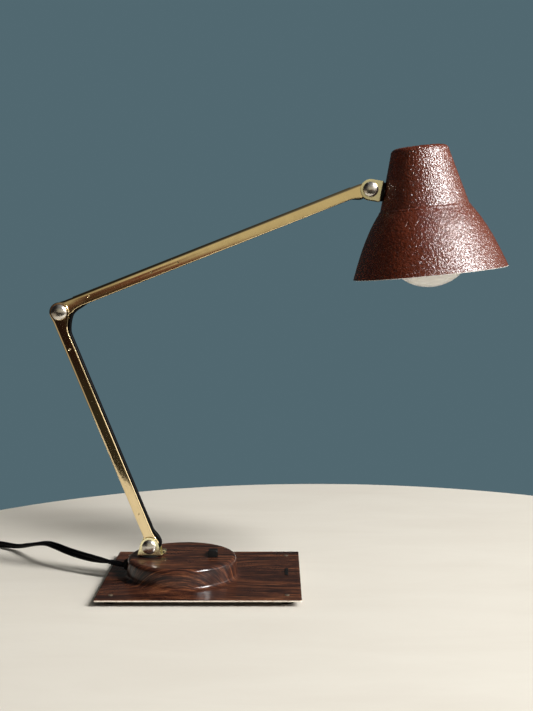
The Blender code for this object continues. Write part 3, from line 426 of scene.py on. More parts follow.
def rounded_prism_bm(outline, half, radii, n=4):
    """Like prism_bm between y = -half and half, its rims rounded by one radius per outline point."""
    m = len(outline)
    area2 = sum(outline[i - 1][0] * outline[i][1] - outline[i][0] * outline[i - 1][1] for i in range(m))
    turn = 1.0 if area2 > 0 else -1.0
    push = []
    for i in range(m):
        p, a, b = Vector(outline[i]), Vector(outline[i - 1]), Vector(outline[(i + 1) % m])
        u, v = (p - a).normalized(), (b - p).normalized()
        nu, nv = Vector((u.y, -u.x)) * turn, Vector((v.y, -v.x)) * turn
        w = (nu + nv).normalized()
        push.append(w / max(0.5, w.dot(nu)))
    rings = []
    for side in (-1, 1):
        steps = [radians(90 * k / n) for k in range(n + 1)]
        for f in (steps[::-1] if side < 0 else steps):
            ring = []
            for (x, z), w, r in zip(outline, push, radii):
                d = r * (1 - cos(f))
                ring.append(((x - w.x * d) * MM, side * (half - r * (1 - sin(f))) * MM, (z - w.y * d) * MM))
            rings.append(ring)
    bm = bmesh.new()
    rings = [[bm.verts.new(c) for c in ring] for ring in rings]
    bm.faces.new(rings[0])
    bm.faces.new(rings[-1][::-1])
    for a, b in zip(rings, rings[1:]):
        for i in range(m):
            j = (i + 1) % m
            bm.faces.new((a[j], a[i], b[i], b[j]))
    bmesh.ops.recalc_face_normals(bm, faces=bm.faces)
    return bm


def bevel(bm, pick, width, segments=3):
    bm.edges.ensure_lookup_table()
    chosen = [e for e in bm.edges if pick(e)]
    if chosen:
        bmesh.ops.bevel(bm, geom=chosen, offset=width * MM, segments=segments, profile=0.5, affect='EDGES', clamp_overlap=True)


def rim_edges(half, skip=None):
    """Picks the outline's edges on the flat sides at y = +-half."""
    def pick(e):
        a, b = e.verts
        if abs(abs(a.co.y) - half * MM) > 1e-6 or abs(a.co.y - b.co.y) > 1e-6:
            return False
        return skip is None or not skip(a.co / MM, b.co / MM)
    return pick


def rod_cutter(radius, length, axis, centre, steps=48):
    bm = lathe_bm([(0, length / 2), (radius, length / 2), (radius, -length / 2), (0, -length / 2)], steps)
    rot = Vector((0, 0, 1)).rotation_difference(Vector(axis)).to_matrix().to_4x4()
    bm.transform(Matrix.Translation(Vector(centre) * MM) @ rot)
    return bm


def ball_cutter(radius, centre):
    bm = bmesh.new()
    bmesh.ops.create_uvsphere(bm, u_segments=32, v_segments=20, radius=radius * MM)
    bm.transform(Matrix.Translation(Vector(centre) * MM) @ Matrix.Rotation(pi / 2, 4, 'X'))
    return bm


def box_bm(x0, x1, y0, y1, z0, z1):
    bm = bmesh.new()
    bmesh.ops.create_cube(bm, size=1.0)
    bmesh.ops.scale(bm, vec=Vector((x1 - x0, y1 - y0, z1 - z0)) * MM, verts=bm.verts)
    bmesh.ops.translate(bm, vec=Vector((x0 + x1, y0 + y1, z0 + z1)) * MM / 2, verts=bm.verts)
    return bm


def combine(obj, steps, smooth=30.0):
    """Exact Booleans, one after another, then baked into the mesh."""
    tools = []
    for op, bm in steps:
        bmesh.ops.recalc_face_normals(bm, faces=bm.faces)
        mesh = bpy.data.meshes.new("tool")
        bm.to_mesh(mesh)
        bm.free()
        tool = bpy.data.objects.new("tool", mesh)
        bpy.context.scene.collection.objects.link(tool)
        tools.append(tool)
        mod = obj.modifiers.new("cut", 'BOOLEAN')
        mod.operation, mod.object, mod.solver = op, tool, 'EXACT'
    bpy.context.view_layer.update()
    deps = bpy.context.evaluated_depsgraph_get()
    mesh = bpy.data.meshes.new_from_object(obj.evaluated_get(deps))
    obj.modifiers.clear()
    old = obj.data
    index = [f.material_index for f in mesh.polygons]
    mesh.materials.clear()
    for m in old.materials:
        mesh.materials.append(m)
    for f, k in zip(mesh.polygons, index):
        f.material_index = min(k, len(mesh.materials) - 1)
    obj.data = mesh
    bpy.data.meshes.remove(old)
    for tool in tools:
        data = tool.data
        bpy.data.objects.remove(tool, do_unlink=True)
        bpy.data.meshes.remove(data)
    bm = bmesh.new()
    bm.from_mesh(mesh)
    bmesh.ops.remove_doubles(bm, verts=bm.verts, dist=0.000002)
    bmesh.ops.dissolve_degenerate(bm, edges=bm.edges, dist=0.000002)
    big = [f for f in bm.faces if len(f.verts) > 4]
    bmesh.ops.triangulate(bm, faces=big)
    bm.to_mesh(mesh)
    bm.free()
    mesh.shade_smooth()
    mesh.set_sharp_from_angle(angle=radians(smooth))
    return obj


def true_flats(obj):
    """Flat faces keep their own normal; only the rounded edges blend."""
    mod = obj.modifiers.new("flats", 'WEIGHTED_NORMAL')
    mod.weight, mod.keep_sharp = 100, True
    return obj


def put(obj, body, matrix=None, nodes=(), slot=None):
    """Place a piece, make it ride, and let it stand for CAD nodes."""
    if matrix is not None:
        obj.matrix_world = matrix
    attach(obj, body)
    if nodes:
        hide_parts(*nodes)
    if slot is None and nodes:
        slot = SLOT_OF[nodes[0]]
    return obj


def ribbon_bm(path, half_w, half_t, ang=lambda s: 0.0, n=7):
    """Flat twin cord: a figure-of-eight section carried along a path in mm."""
    off = half_w - half_t
    section = []
    for side in (1, -1):
        a0 = -pi / 2 if side > 0 else pi / 2
        for k in range(n):
            a = a0 + pi * k / (n - 1)
            section.append((side * off + half_t * cos(a), half_t * sin(a)))
        section.append((side * off * 0.25, side * half_t * 0.78))
        section.append((0.0, side * half_t * 0.58))
        section.append((-side * off * 0.25, side * half_t * 0.78))
    bm = bmesh.new()
    rings, length = [], 0.0
    for i, p in enumerate(path):
        t = (path[min(i + 1, len(path) - 1)] - path[max(i - 1, 0)]).normalized()
        if i:
            length += (p - path[i - 1]).length
        side = Vector((0, 0, 1)).cross(t)
        side = side.normalized() if side.length > 1e-4 and abs(t.y) > 1e-3 else Vector((0, 1, 0))
        if i and side.dot(last) < 0:
            side = -side
        last = side
        up = t.cross(side)
        g = ang(length)
        a, b = side * cos(g) + up * sin(g), up * cos(g) - side * sin(g)
        rings.append([bm.verts.new((p + a * u + b * v) * MM) for u, v in section])
    m = len(section)
    for r0, r1 in zip(rings, rings[1:]):
        for k in range(m):
            bm.faces.new((r0[k], r0[(k + 1) % m], r1[(k + 1) % m], r1[k]))
    bm.faces.new(list(reversed(rings[0])))
    bm.faces.new(rings[-1])
    return bm


# ------------------------------------------------------------------ shared sizes, mm
def joint_at(name):
    return Vector(JOINTS[name]["pos_m"]) * 1000


SWIVEL, PIVOT_BASE, PIVOT_ELBOW, PIVOT_HEAD = (joint_at(n) for n in ("base_swivel", "lower_arm_tilt", "elbow", "head_tilt"))
ROCKER_AT = joint_at("switch_rock")
LOWER_LEAN = radians(21.8)
UPPER_RISE = atan2(PIVOT_HEAD.z - PIVOT_ELBOW.z, PIVOT_HEAD.x - PIVOT_ELBOW.x)
HEAD_DROP, HEAD_ROLL, SHADE_LEAN = radians(10.1), radians(1.4), radians(15.7)
PAN_X, PAN_Y, PAN_BOTTOM, PAN_TOP, SHEET = 165.0, 146.0, 4.4, 5.6, 1.2
BOSS_X, BOSS_TOP, BOSS_R, BOSS_FOOT_R = -18.2, SWIVEL.z, 46.2, 50.6
CORNER_X, CORNER_Y = 70.8, 59.0
CORD_Y, CORD_Z = 4.0, 13.0
CORD_AXIS_X = BOSS_X - BOSS_R - 0.4
UPPER_HALF, LOWER_HALF = 4.0, 5.8
BASE_IN, BASE_OUT, HEAD_IN, HEAD_OUT = 6.6, 7.8, 4.8, 6.0
ARM_SHEET, PIN_R, PIN_HOLE_R = 1.0, 2.4, 2.75
SHADE_RIM_R, SHADE_H, SHADE_T = 64.3, 104.2, 0.9
SHADE_AXIAL, SHADE_OFFSET, WALL, CREASE = 73.5, 43.5, 11.65, 52.6


def shift(v):
    return Matrix.Translation(Vector(v) * MM)


T_SWIVEL = shift(SWIVEL)
T_LOWER = shift(PIVOT_BASE) @ Matrix.Rotation(-LOWER_LEAN, 4, 'Y')
T_UPPER = shift(PIVOT_ELBOW) @ Matrix.Rotation(-UPPER_RISE, 4, 'Y')
T_HEAD = shift(PIVOT_HEAD) @ Matrix.Rotation(HEAD_DROP, 4, 'Y')
T_ROLL = T_HEAD @ Matrix.Rotation(HEAD_ROLL, 4, 'X')
T_SHADE = T_ROLL @ Matrix.Rotation(-SHADE_LEAN, 4, 'Y') @ shift((SHADE_OFFSET, 0, -SHADE_AXIAL))
TO_FRONT = Matrix.Rotation(pi / 2, 4, 'X')
TO_BACK = Matrix.Rotation(-pi / 2, 4, 'X')
TO_RIGHT = Matrix.Rotation(pi / 2, 4, 'Y')
TO_LEFT = Matrix.Rotation(-pi / 2, 4, 'Y')

# ------------------------------------------------------------------ base pan
def pan_edge_points():
    """(angle, distance) from the boss's centre to the pan's edge, in order round it."""
    x, y, r = PAN_X / 2, PAN_Y / 2, 1.6
    pts = []
    spans = []
    for sx, sy, a0 in ((1, 1, 0), (-1, 1, 90), (-1, -1, 180), (1, -1, 270)):
        c = arc(sx * (x - r), sy * (y - r), r, a0, a0 + 90, 6)
        pts += c
        ang = [atan2(q[1], q[0] - BOSS_X) % (2 * pi) for q in c]
        spans.append((ang[0], ang[-1]))
    out = [(atan2(q[1], q[0] - BOSS_X) % (2 * pi), hypot(q[0] - BOSS_X, q[1])) for q in pts]
    for k in range(288):
        a = 2 * pi * k / 288
        if any(s - 0.004 <= a <= e + 0.004 for s, e in spans):
            continue
        dx, dy = cos(a), sin(a)
        t = 1e9
        if abs(dx) > 1e-9:
            t = min(t, ((x if dx > 0 else -x) - BOSS_X) / dx)
        if abs(dy) > 1e-9:
            t = min(t, (y if dy > 0 else -y) / dy)
        out.append((a, t))
    return sorted(out)


def pan_rows():
    """Rows of the section: (kind, r or share, z, flat-sheet radius)."""
    rs = 3.6
    top = [(0.0, BOSS_TOP)] + [(r, BOSS_TOP) for r in (7, 14, 21, 28, 34, 39)]
    top += arc(BOSS_R - rs, BOSS_TOP - rs, rs, 90, 8, 9)
    fr, wall = 3.4, BOSS_R + 0.9
    last = top[-1]
    first = (wall + fr + fr * cos(radians(182)), PAN_TOP + fr + fr * sin(radians(182)))
    top += [(last[0] + (first[0] - last[0]) * k / 4, last[1] + (first[1] - last[1]) * k / 4) for k in range(1, 4)]
    top += arc(wall + fr, PAN_TOP + fr, fr, 182, 270, 9)
    rows, length = [], 0.0
    for i, (r, z) in enumerate(top):
        if i:
            length += hypot(r - top[i - 1][0], z - top[i - 1][1])
        rows.append(("r", r, z, length))
    return rows


def build_pan():
    edge = pan_edge_points()
    rows = pan_rows()
    foot_r, foot_len = rows[-1][1], rows[-1][3]
    extra = foot_len - foot_r
    bm = bmesh.new()
    uv_of = {}
    grid = []

    def flat(r):
        return r + extra * exp(-(r - foot_r) / 22.0)

    def ring(row):
        kind, r, z, ln = row
        out = []
        for a, lim in edge:
            if kind == "r":
                rr, rl = r, ln
            elif kind == "t":
                rr = foot_r + (lim - foot_r) * r
                rl = flat(rr)
            else:
                rr = lim - r
                rl = flat(rr)
            v = bm.verts.new(((BOSS_X + rr * cos(a)) * MM, rr * sin(a) * MM, z * MM))
            uv_of[v] = ((BOSS_X + rl * cos(a)) / 100, rl * sin(a) / 100)
            out.append(v)
        return out

    full = rows + [("t", s, PAN_TOP, 0) for s in (0.1, 0.24, 0.42, 0.62, 0.8, 0.93)]
    full += [("e", 0.3, PAN_TOP, 0), ("e", 0.1, PAN_TOP - 0.07, 0), ("e", 0.0, PAN_TOP - 0.25, 0), ("e", 0.0, PAN_BOTTOM + 0.12, 0),
             ("e", 0.12, PAN_BOTTOM, 0)]
    n_edge = len(full) - 2
    full += [("t", 0.5, PAN_BOTTOM, 0), ("r", BOSS_R + 2.6, PAN_BOTTOM, foot_len), ("r", BOSS_R + 0.2, PAN_BOTTOM + 1.6, foot_len - 4)]
    full += [("r", r, z, foot_len - 14) for r, z in arc(BOSS_R - SHEET - 2.9, BOSS_TOP - SHEET - 2.9, 2.9, 8, 90, 6)]
    full += [("r", 20.0, BOSS_TOP - SHEET, 20.0)]
    for row in full[1:]:
        grid.append(ring(row))
    n = len(edge)
    top = bm.verts.new((BOSS_X * MM, 0, BOSS_TOP * MM))
    low = bm.verts.new((BOSS_X * MM, 0, (BOSS_TOP - SHEET) * MM))
    uv_of[top] = uv_of[low] = (BOSS_X / 100, 0.0)
    for k in range(n):
        j = (k + 1) % n
        bm.faces.new((top, grid[0][k], grid[0][j]))
        bm.faces.new((low, grid[-1][j], grid[-1][k]))
        for i in range(len(grid) - 1):
            f = bm.faces.new((grid[i][k], grid[i + 1][k], grid[i + 1][j], grid[i][j]))
            f.material_index = 1 if i + 1 in (n_edge - 2, n_edge - 1, n_edge) else 0
    layer = bm.loops.layers.uv.new("flat")
    for f in bm.faces:
        for lp in f.loops:
            lp[layer].uv = uv_of[lp.vert]
    obj = to_object("pan", bm, [M_WOOD, M_EDGE], 40)
    cuts = [('DIFFERENCE', rod_cutter(3.95, 8, (0, 0, 1), (SWIVEL.x, 0, BOSS_TOP))),
            ('DIFFERENCE', box_bm(ROCKER_AT.x - 4.3, ROCKER_AT.x + 4.3, ROCKER_AT.y - 7.4, ROCKER_AT.y + 7.4, BOSS_TOP - 4, BOSS_TOP + 4)),
            ('DIFFERENCE', rod_cutter(4.5, 12, (1, 0, 0), (CORD_AXIS_X, CORD_Y, CORD_Z)))]
    cuts += [('DIFFERENCE', rod_cutter(1.7, 6, (0, 0, 1), (sx * CORNER_X, sy * CORNER_Y, 5), 24)) for sx in (-1, 1) for sy in (-1, 1)]
    combine(obj, cuts, 40)
    return put(obj, "base", nodes=["base_pan"])


pan = build_pan()

# ------------------------------------------------------------------ base fittings
for i, (sx, sy) in enumerate(((-1, -1), (1, -1), (1, 1), (-1, 1)), 1):
    head = [(0, 6.3), (0.6, 6.28), (1.1, 6.2), (1.6, 6.05), (1.95, 5.88), (2.1, 5.78), (2.1, 5.68), (1.35, 5.68),
            (1.35, 1.2), (2.4, 1.2), (2.4, 0.4), (0, 0.4)]
    rivet = lathe(f"rivet_{i}", head, M_RIVET, 40)
    put(rivet, "base", shift((sx * CORNER_X, sy * CORNER_Y, 0)), [f"foot_rivet_{i}"])
    foot = lathe(f"foot_{i}", fillet([(1.7, 2.8), (5.4, 2.8), (6.0, 1.2), (5.6, 0.0), (2.9, 0.0), (2.9, 1.5), (1.7, 1.5)],
                                     [0, 0.3, 0.3, 0.5, 0.3, 0.2, 0], 3), M_RUBBER, 40)
    put(foot, "base", shift((sx * CORNER_X, sy * CORNER_Y, 0)), [f"rubber_foot_{i}"])

strip = prism_bm(fillet([(-1.4, -10), (1.4, -10), (1.4, 10), (-1.4, 10)], 0.45, 4), -0.225, 0.225)
bevel(strip, rim_edges(0.225), 0.12, 2)
strip.transform(Matrix.Rotation(pi / 2, 4, 'X'))
strip = to_object("inlay", strip, M_BLACK)
put(strip, "base", shift((71.0, 6.0, PAN_TOP + 0.345)), ["inlay_strip"])

washer = lathe("swivel_washer", fillet([(4.0, 0.85), (10.0, 0.85), (10.0, 0.25), (4.0, 0.25)], 0.12, 2), M_RUBBER, 72)
put(washer, "base", T_SWIVEL, ["base_swivel_washer"])

ROCK_TOP = 8.1
rock = ([(-6.4, 3.0), (-6.7, ROCK_TOP - 0.1), (-6.5, ROCK_TOP + 0.28), (-6.0, ROCK_TOP + 0.4)]
        + [(x, ROCK_TOP + 0.4 - 0.9 * (1 - (x / 6.0) ** 2)) for x in (-5, -4, -3, -2, -1, 0, 1, 2, 3, 4, 5)]
        + [(6.0, ROCK_TOP + 0.4), (6.5, ROCK_TOP + 0.28), (6.7, ROCK_TOP - 0.1), (6.4, 3.0)] + arc(0, 0, 3.2, 0, -180, 14))
bm = prism_bm(rock, -3.9, 3.9)
bevel(bm, rim_edges(3.9, lambda a, b: min(a.z, b.z) < 3.5), 0.45, 3)
bm.transform(Matrix.Rotation(pi / 2, 4, 'Z'))
rocker = to_object("rocker", bm, M_BLACK)
combine(rocker, [('UNION', rod_cutter(0.85, 11.8, (1, 0, 0), (0, 0, 0), 24))])
put(rocker, "rocker", shift(ROCKER_AT) @ Matrix.Rotation(radians(-7), 4, 'X'), ["switch_rocker"])

bush = lathe("bushing", fillet([(3.5, 3.4), (4.1, 3.4), (4.7, 2.4), (4.9, 1.9), (4.9, 0.35), (4.15, 0.35), (4.15, -2.7), (4.8, -2.7),
                                (4.8, -3.6), (3.5, -3.6)], [0.25, 0.3, 0.4, 0.5, 0.2, 0, 0, 0.2, 0.2, 0.2], 3), M_RUBBER, 48)
put(bush, "base", shift((CORD_AXIS_X - 0.15, CORD_Y, CORD_Z)) @ TO_LEFT, ["cord_bushing"])

CORD = [(-53, 4, 13.0), (-61, 4, 13.0), (-69, 4, 13.0), (-76, 6, 13.6), (-84, 9, 14.5), (-97, 15, 15.2), (-110, 23, 16.1),
        (-124, 34, 17.2), (-138, 47, 18.4), (-149, 60, 16.9), (-166, 78, 10.9), (-182, 94, 5.3), (-203, 108, 3.6),
        (-222, 117, 3.6), (-246, 122, 3.6), (-268, 112, 3.6), (-277, 92, 3.6), (-272, 70, 4.6), (-262, 48, 7.6),
        (-258, 30, 9.5), (-257, 14, 10.0)]


def cord_twist(length):
    marks = [(0, 0), (26, 0), (38, 50), (50, 88), (64, 112), (80, 138), (110, 170), (160, 200), (190, 250), (262, 360), (900, 360)]
    for (a, p), (b, q) in zip(marks, marks[1:]):
        if length <= b:
            k = (length - a) / (b - a)
            return radians(p + (q - p) * k)
    return radians(360)


cord = to_object("cord", ribbon_bm(smooth_path(CORD, 14), 3.4, 1.75, cord_twist), M_CORD, 50)
put(cord, "base", nodes=["power_cord"])

PLUG_AT = Vector((-257.0, 13.6, 10.0))
side_line = [(4.2, 0.0), (4.3, -1.6), (4.9, -1.9), (4.9, -2.7), (5.0, -3.2), (5.6, -3.5), (5.7, -4.3), (6.1, -4.9), (7.2, -6.0), (9.5, -9.0),
             (11.2, -11.6), (12.0, -14.5), (12.0, -27.0), (11.6, -28.1), (10.5, -28.5)]
bm = prism_bm([(x, y) for x, y in side_line] + [(-x, y) for x, y in reversed(side_line)], -7.0, 7.0)
bevel(bm, rim_edges(7.0), 2.0, 4)
bm.transform(Matrix.Rotation(-pi / 2, 4, 'X'))
plug = to_object("plug", bm, M_BLACK)
combine(plug, [('DIFFERENCE', box_bm(s * 6.35 - 1.1, s * 6.35 + 1.1, -34, -22, -3.5, 3.5)) for s in (-1, 1)])
put(plug, "base", shift(PLUG_AT), ["plug_body"])
for s, side in ((-1, "left"), (1, "right")):
    bm = prism_bm(fillet([(-3.1, -46.0), (3.1, -46.0), (3.1, -22.4), (-3.1, -22.4)], [1.2, 1.2, 0.1, 0.1], 4), -0.75, 0.75)
    bevel(bm, rim_edges(0.75), 0.2, 2)
    blade = to_object(f"blade_{side}", bm, M_CONTACT)
    combine(blade, [('DIFFERENCE', rod_cutter(1.6, 6, (0, 1, 0), (0, 0, -41.0), 32))])
    put(blade, "base", shift(PLUG_AT + Vector((s * 6.35, 0, 0))) @ Matrix(((0, 1, 0, 0), (0, 0, 1, 0), (1, 0, 0, 0), (0, 0, 0, 1))),
        [f"plug_blade_{side}"])

# ------------------------------------------------------------------ pivots
def pivot(prefix, body, matrix, clevis_half, dome_r):
    y0 = clevis_half + 0.15
    h = dome_r * 0.42
    dome = [(0, y0 + 0.7 + h)] + [(dome_r * sin(radians(a)), y0 + 0.7 + h * cos(radians(a))) for a in range(8, 89, 8)]
    dome += [(dome_r, y0 + 0.5), (dome_r - 0.12, y0 + 0.08), (dome_r - 0.3, y0)]
    bolt = lathe(prefix + "_dome_front", dome + [(PIN_R, y0), (PIN_R, -clevis_half - 0.3), (PIN_R - 0.3, -clevis_half - 0.6), (0, -clevis_half - 0.6)],
                 M_NICKEL, 72)
    put(bolt, body, matrix @ TO_FRONT, [prefix + "_bolt"])
    nut = lathe(prefix + "_dome_rear", dome + [(PIN_R + 0.3, y0), (PIN_R + 0.3, y0 + 0.9), (0, y0 + 0.9)], M_NICKEL, 72)
    put(nut, body, matrix @ TO_BACK, [prefix + "_nut"])


PIVOT_UP = PIVOT_BASE.z - BOSS_TOP
delta = PIVOT_ELBOW - PIVOT_BASE
E_X = delta.x * cos(LOWER_LEAN) + delta.z * sin(LOWER_LEAN)
E_Z = -delta.x * sin(LOWER_LEAN) + delta.z * cos(LOWER_LEAN)
pivot("base_pivot", "swivel", T_SWIVEL @ shift((0, 0, PIVOT_UP)), BASE_OUT, 6.1)
pivot("elbow", "lower_arm", T_LOWER @ shift((E_X, 0, E_Z)), LOWER_HALF, 6.7)
pivot("head_pivot", "head_clevis", T_HEAD, HEAD_OUT, 6.35)

# ------------------------------------------------------------------ base bracket
WEB0, WEB1 = 1.1, 2.3
ear = [(10.3, WEB0)] + arc(0, PIVOT_UP, 8.0, 4, 176, 36) + [(-10.3, WEB0)]
bm = prism_bm(ear, -BASE_OUT, BASE_OUT)
bevel(bm, lambda e: abs(e.verts[0].co.z - WEB0 * MM) < 1e-7 and abs(e.verts[1].co.z - WEB0 * MM) < 1e-7
      and abs(e.verts[0].co.y - e.verts[1].co.y) < 1e-7, 1.1, 4)
bevel(bm, rim_edges(BASE_OUT), 0.22, 2)
bracket = to_object("bracket_base", bm, M_BRACKET)
inner = box_bm(-20, 20, -BASE_IN, BASE_IN, WEB1, 40)
bevel(inner, lambda e: all(abs(v.co.z - WEB1 * MM) < 1e-7 for v in e.verts) and abs(e.verts[0].co.y - e.verts[1].co.y) < 1e-7, 0.5, 3)
curl = rod_cutter(2.1, 5.8, (0, 1, 0), (11.6, 0, WEB0 + 2.1), 40)
bevel(curl, lambda e: abs(abs(e.verts[0].co.y) - 2.9 * MM) < 1e-6 and abs(e.verts[0].co.y - e.verts[1].co.y) < 1e-7
      and hypot(e.verts[0].co.x - 0.0116, e.verts[0].co.z - (WEB0 + 2.1) * MM) > 0.002
      and hypot(e.verts[1].co.x - 0.0116, e.verts[1].co.z - (WEB0 + 2.1) * MM) > 0.002, 0.2, 2)
combine(bracket, [('DIFFERENCE', inner), ('UNION', curl),
                  ('DIFFERENCE', rod_cutter(0.95, 12, (0, 1, 0), (11.6, 0, WEB0 + 2.1), 24)),
                  ('DIFFERENCE', rod_cutter(3.95, 4, (0, 0, 1), (0, 0, 1.7), 40)),
                  ('DIFFERENCE', rod_cutter(PIN_HOLE_R, 40, (0, 1, 0), (0, 0, PIVOT_UP), 40))])
put(true_flats(bracket), "swivel", T_SWIVEL, ["base_bracket"])

# ------------------------------------------------------------------ lower arm
LOWER_L, LOWER_R, EAR_TOP = -2.0, 6.6, 8.3
outline = (arc(0, 0, 5.0, 113, 300, 24) + arc(5.5, 0.6, 3.0, -60, 15, 8)
           + [tuple(p) for p in smooth_path([(8.25, 2.0), (7.9, 3.6), (7.2, 6.2), (6.75, 9.0), (LOWER_R, 12.5)], 3)]
           + [tuple(p) for p in smooth_path([(LOWER_R, E_Z - 22.0), (LOWER_R, E_Z - 19.0), (E_X + 0.95, E_Z - 16.2), (E_X + 1.7, E_Z - 13.6), (E_X + 3.1, E_Z - 10.9),
                                             (E_X + EAR_TOP * cos(radians(-44)), E_Z + EAR_TOP * sin(radians(-44)))], 3)][:-1]
           + arc(E_X, E_Z, EAR_TOP, -44, 184, 40) + [(LOWER_L, E_Z - 6.0), (LOWER_L, 12.0)])
bm = rounded_prism_bm(outline, LOWER_HALF, [0.85] * (len(outline) - 2) + [1.8, 1.8], 5)
arm = to_object("arm_lower", bm, M_ARM_L)
web = LOWER_L + ARM_SHEET
channel = [(web, 16.0), (-30, 10.0), (-30, -30), (60, -30), (60, E_Z + 40), (-30, E_Z + 40), (-30, E_Z - 11.0), (web, E_Z - 17.0)]
inner = prism_bm(channel, -LOWER_HALF + ARM_SHEET, LOWER_HALF - ARM_SHEET)
steps = [('DIFFERENCE', inner),
         ('DIFFERENCE', rod_cutter(PIN_HOLE_R, 40, (0, 1, 0), (0, 0, 0))),
         ('DIFFERENCE', rod_cutter(PIN_HOLE_R, 40, (0, 1, 0), (E_X, 0, E_Z)))]
steps += [('DIFFERENCE', ball_cutter(2.2, (x, -LOWER_HALF - 2.2 + d, z))) for x, z, d in ((2.3, E_Z - 32.4, 0.32), (2.6, 29.5, 0.2))]
combine(arm, steps)
put(true_flats(arm), "lower_arm", T_LOWER, ["lower_arm"])

# ------------------------------------------------------------------ upper arm
UPPER_TOP, UPPER_BOTTOM = 8.1, -1.6
H_X = hypot(PIVOT_HEAD.x - PIVOT_ELBOW.x, PIVOT_HEAD.z - PIVOT_ELBOW.z)
left = smooth_path([(7.9 * cos(radians(323)), 7.9 * sin(radians(323))), (9.9, -3.9), (12.2, -2.9), (15.5, -2.0), (20.0, UPPER_BOTTOM)], 4)
right = smooth_path([(H_X - 20.0, UPPER_BOTTOM), (H_X - 15.5, -2.0), (H_X - 12.2, -2.8), (H_X - 9.0, -3.8),
                     (H_X + 6.2 * cos(radians(217)), 6.2 * sin(radians(217)))], 4)
outline = (arc(0, 0, 7.9, 90, 323, 36)[:-1] + [tuple(p) for p in left] + [tuple(p) for p in right][:-1]
           + arc(H_X, 0, 6.2, 217, 431, 32) + [(H_X - 8.0, UPPER_TOP), (7.0, UPPER_TOP)])
bm = rounded_prism_bm(outline, UPPER_HALF, [0.7] * (len(outline) - 2) + [2.6, 2.6], 6)
arm = to_object("arm_upper", bm, M_ARM_U)
under = UPPER_TOP - ARM_SHEET
channel = [(15.0, under), (9.5, 30), (-40, 30), (-40, -40), (H_X + 40, -40), (H_X + 40, 30), (H_X - 10.5, 30), (H_X - 15.0, under)]
inner = prism_bm(channel[::-1], -UPPER_HALF + ARM_SHEET, UPPER_HALF - ARM_SHEET)
steps = [('DIFFERENCE', inner),
         ('DIFFERENCE', rod_cutter(PIN_HOLE_R, 40, (0, 1, 0), (0, 0, 0))),
         ('DIFFERENCE', rod_cutter(PIN_HOLE_R, 40, (0, 1, 0), (H_X, 0, 0)))]
steps += [('DIFFERENCE', ball_cutter(2.2, (x, -UPPER_HALF - 2.2 + d, z))) for x, z, d in ((28.0, 3.0, 0.26), (84.0, 2.8, 0.22), (107.5, 2.4, 0.2))]
combine(arm, steps)
put(true_flats(arm), "upper_arm", T_UPPER, ["upper_arm"])

# ------------------------------------------------------------------ head clevis
HW0, HW1, HB = 8.3, 9.5, 8.4
bm = prism_bm([(HW1, -HB), (HW1, HB)] + arc(0, 0, HB, 90, 270, 40), -HEAD_OUT, HEAD_OUT)
bevel(bm, lambda e: all(abs(v.co.x - HW1 * MM) < 1e-6 for v in e.verts) and abs(e.verts[0].co.y - e.verts[1].co.y) < 1e-7, 1.0, 4)
bevel(bm, rim_edges(HEAD_OUT), 0.22, 2)
bracket = to_object("bracket_head", bm, M_BRACKET)
inner = box_bm(-30, HW0, -HEAD_IN, HEAD_IN, -30, 30)
combine(bracket, [('DIFFERENCE', inner), ('DIFFERENCE', rod_cutter(3.7, 6, (1, 0, 0), (8.9, 0, 0), 40)),
                  ('DIFFERENCE', rod_cutter(PIN_HOLE_R, 40, (0, 1, 0), (0, 0, 0)))])
put(true_flats(bracket), "head_clevis", T_HEAD, ["head_bracket"])
spacer = lathe("spacer_washer", fillet([(3.75, WALL - 0.35), (7.9, WALL - 0.35), (7.9, HW1 + 0.25), (3.75, HW1 + 0.25)], 0.2, 2), M_RUBBER, 64)
put(spacer, "shade_head", T_ROLL @ TO_RIGHT, ["head_spacer_washer"])

# ------------------------------------------------------------------ shade
NECK_TAPER = tan(SHADE_LEAN)


def neck_r(s):
    return 25.5 + (94.5 - s) * NECK_TAPER


def bell_r(s):
    u = s / CREASE
    return SHADE_RIM_R - 19.2 * u - 3.3 * u ** 2 - 3.7 * u ** 4


def shade_line(step):
    """The outside, from the middle of the crown down to the rim."""
    pts = [(0.0, SHADE_H)]
    rc = 5.2
    flat_r = neck_r(SHADE_H) - rc - 1.2
    n = max(3, int(flat_r / (step * 1.6)))
    pts += [(flat_r * k / n, SHADE_H - 0.15 * (k / n) ** 2) for k in range(1, n + 1)]
    cx = neck_r(SHADE_H - rc) - rc
    m = max(6, int(8 / step))
    pts += [(cx + rc * sin(radians(a)), SHADE_H - rc + rc * cos(radians(a))) for a in [8 + 66 * k / m for k in range(m + 1)]]
    s = pts[-1][1]
    n = max(4, int((s - 56.0) / step))
    pts += [(neck_r(s + (56.0 - s) * k / n), s + (56.0 - s) * k / n) for k in range(1, n + 1)]
    # the drawn step where neck and bell meet
    pts += [(neck_r(55.3) + 0.02, 55.3), (neck_r(54.7) - 0.15, 54.7), (neck_r(54.2) + 0.45, 54.1), (bell_r(CREASE) - 0.3, CREASE + 0.75),
            (bell_r(CREASE) + 0.06, CREASE + 0.4)]
    n = max(8, int(CREASE / step))
    pts += [(bell_r(CREASE * (1 - k / n)), CREASE * (1 - k / n)) for k in range(n + 1)]
    return pts


def inset(points, t):
    res = []
    for i, (r, z) in enumerate(points):
        a, b = points[max(i - 1, 0)], points[min(i + 1, len(points) - 1)]
        dx, dz = b[0] - a[0], b[1] - a[1]
        m = hypot(dx, dz)
        res.append((r + dz / m * t, z - dx / m * t) if r > 1e-6 else (0.0, z - t))
    return res


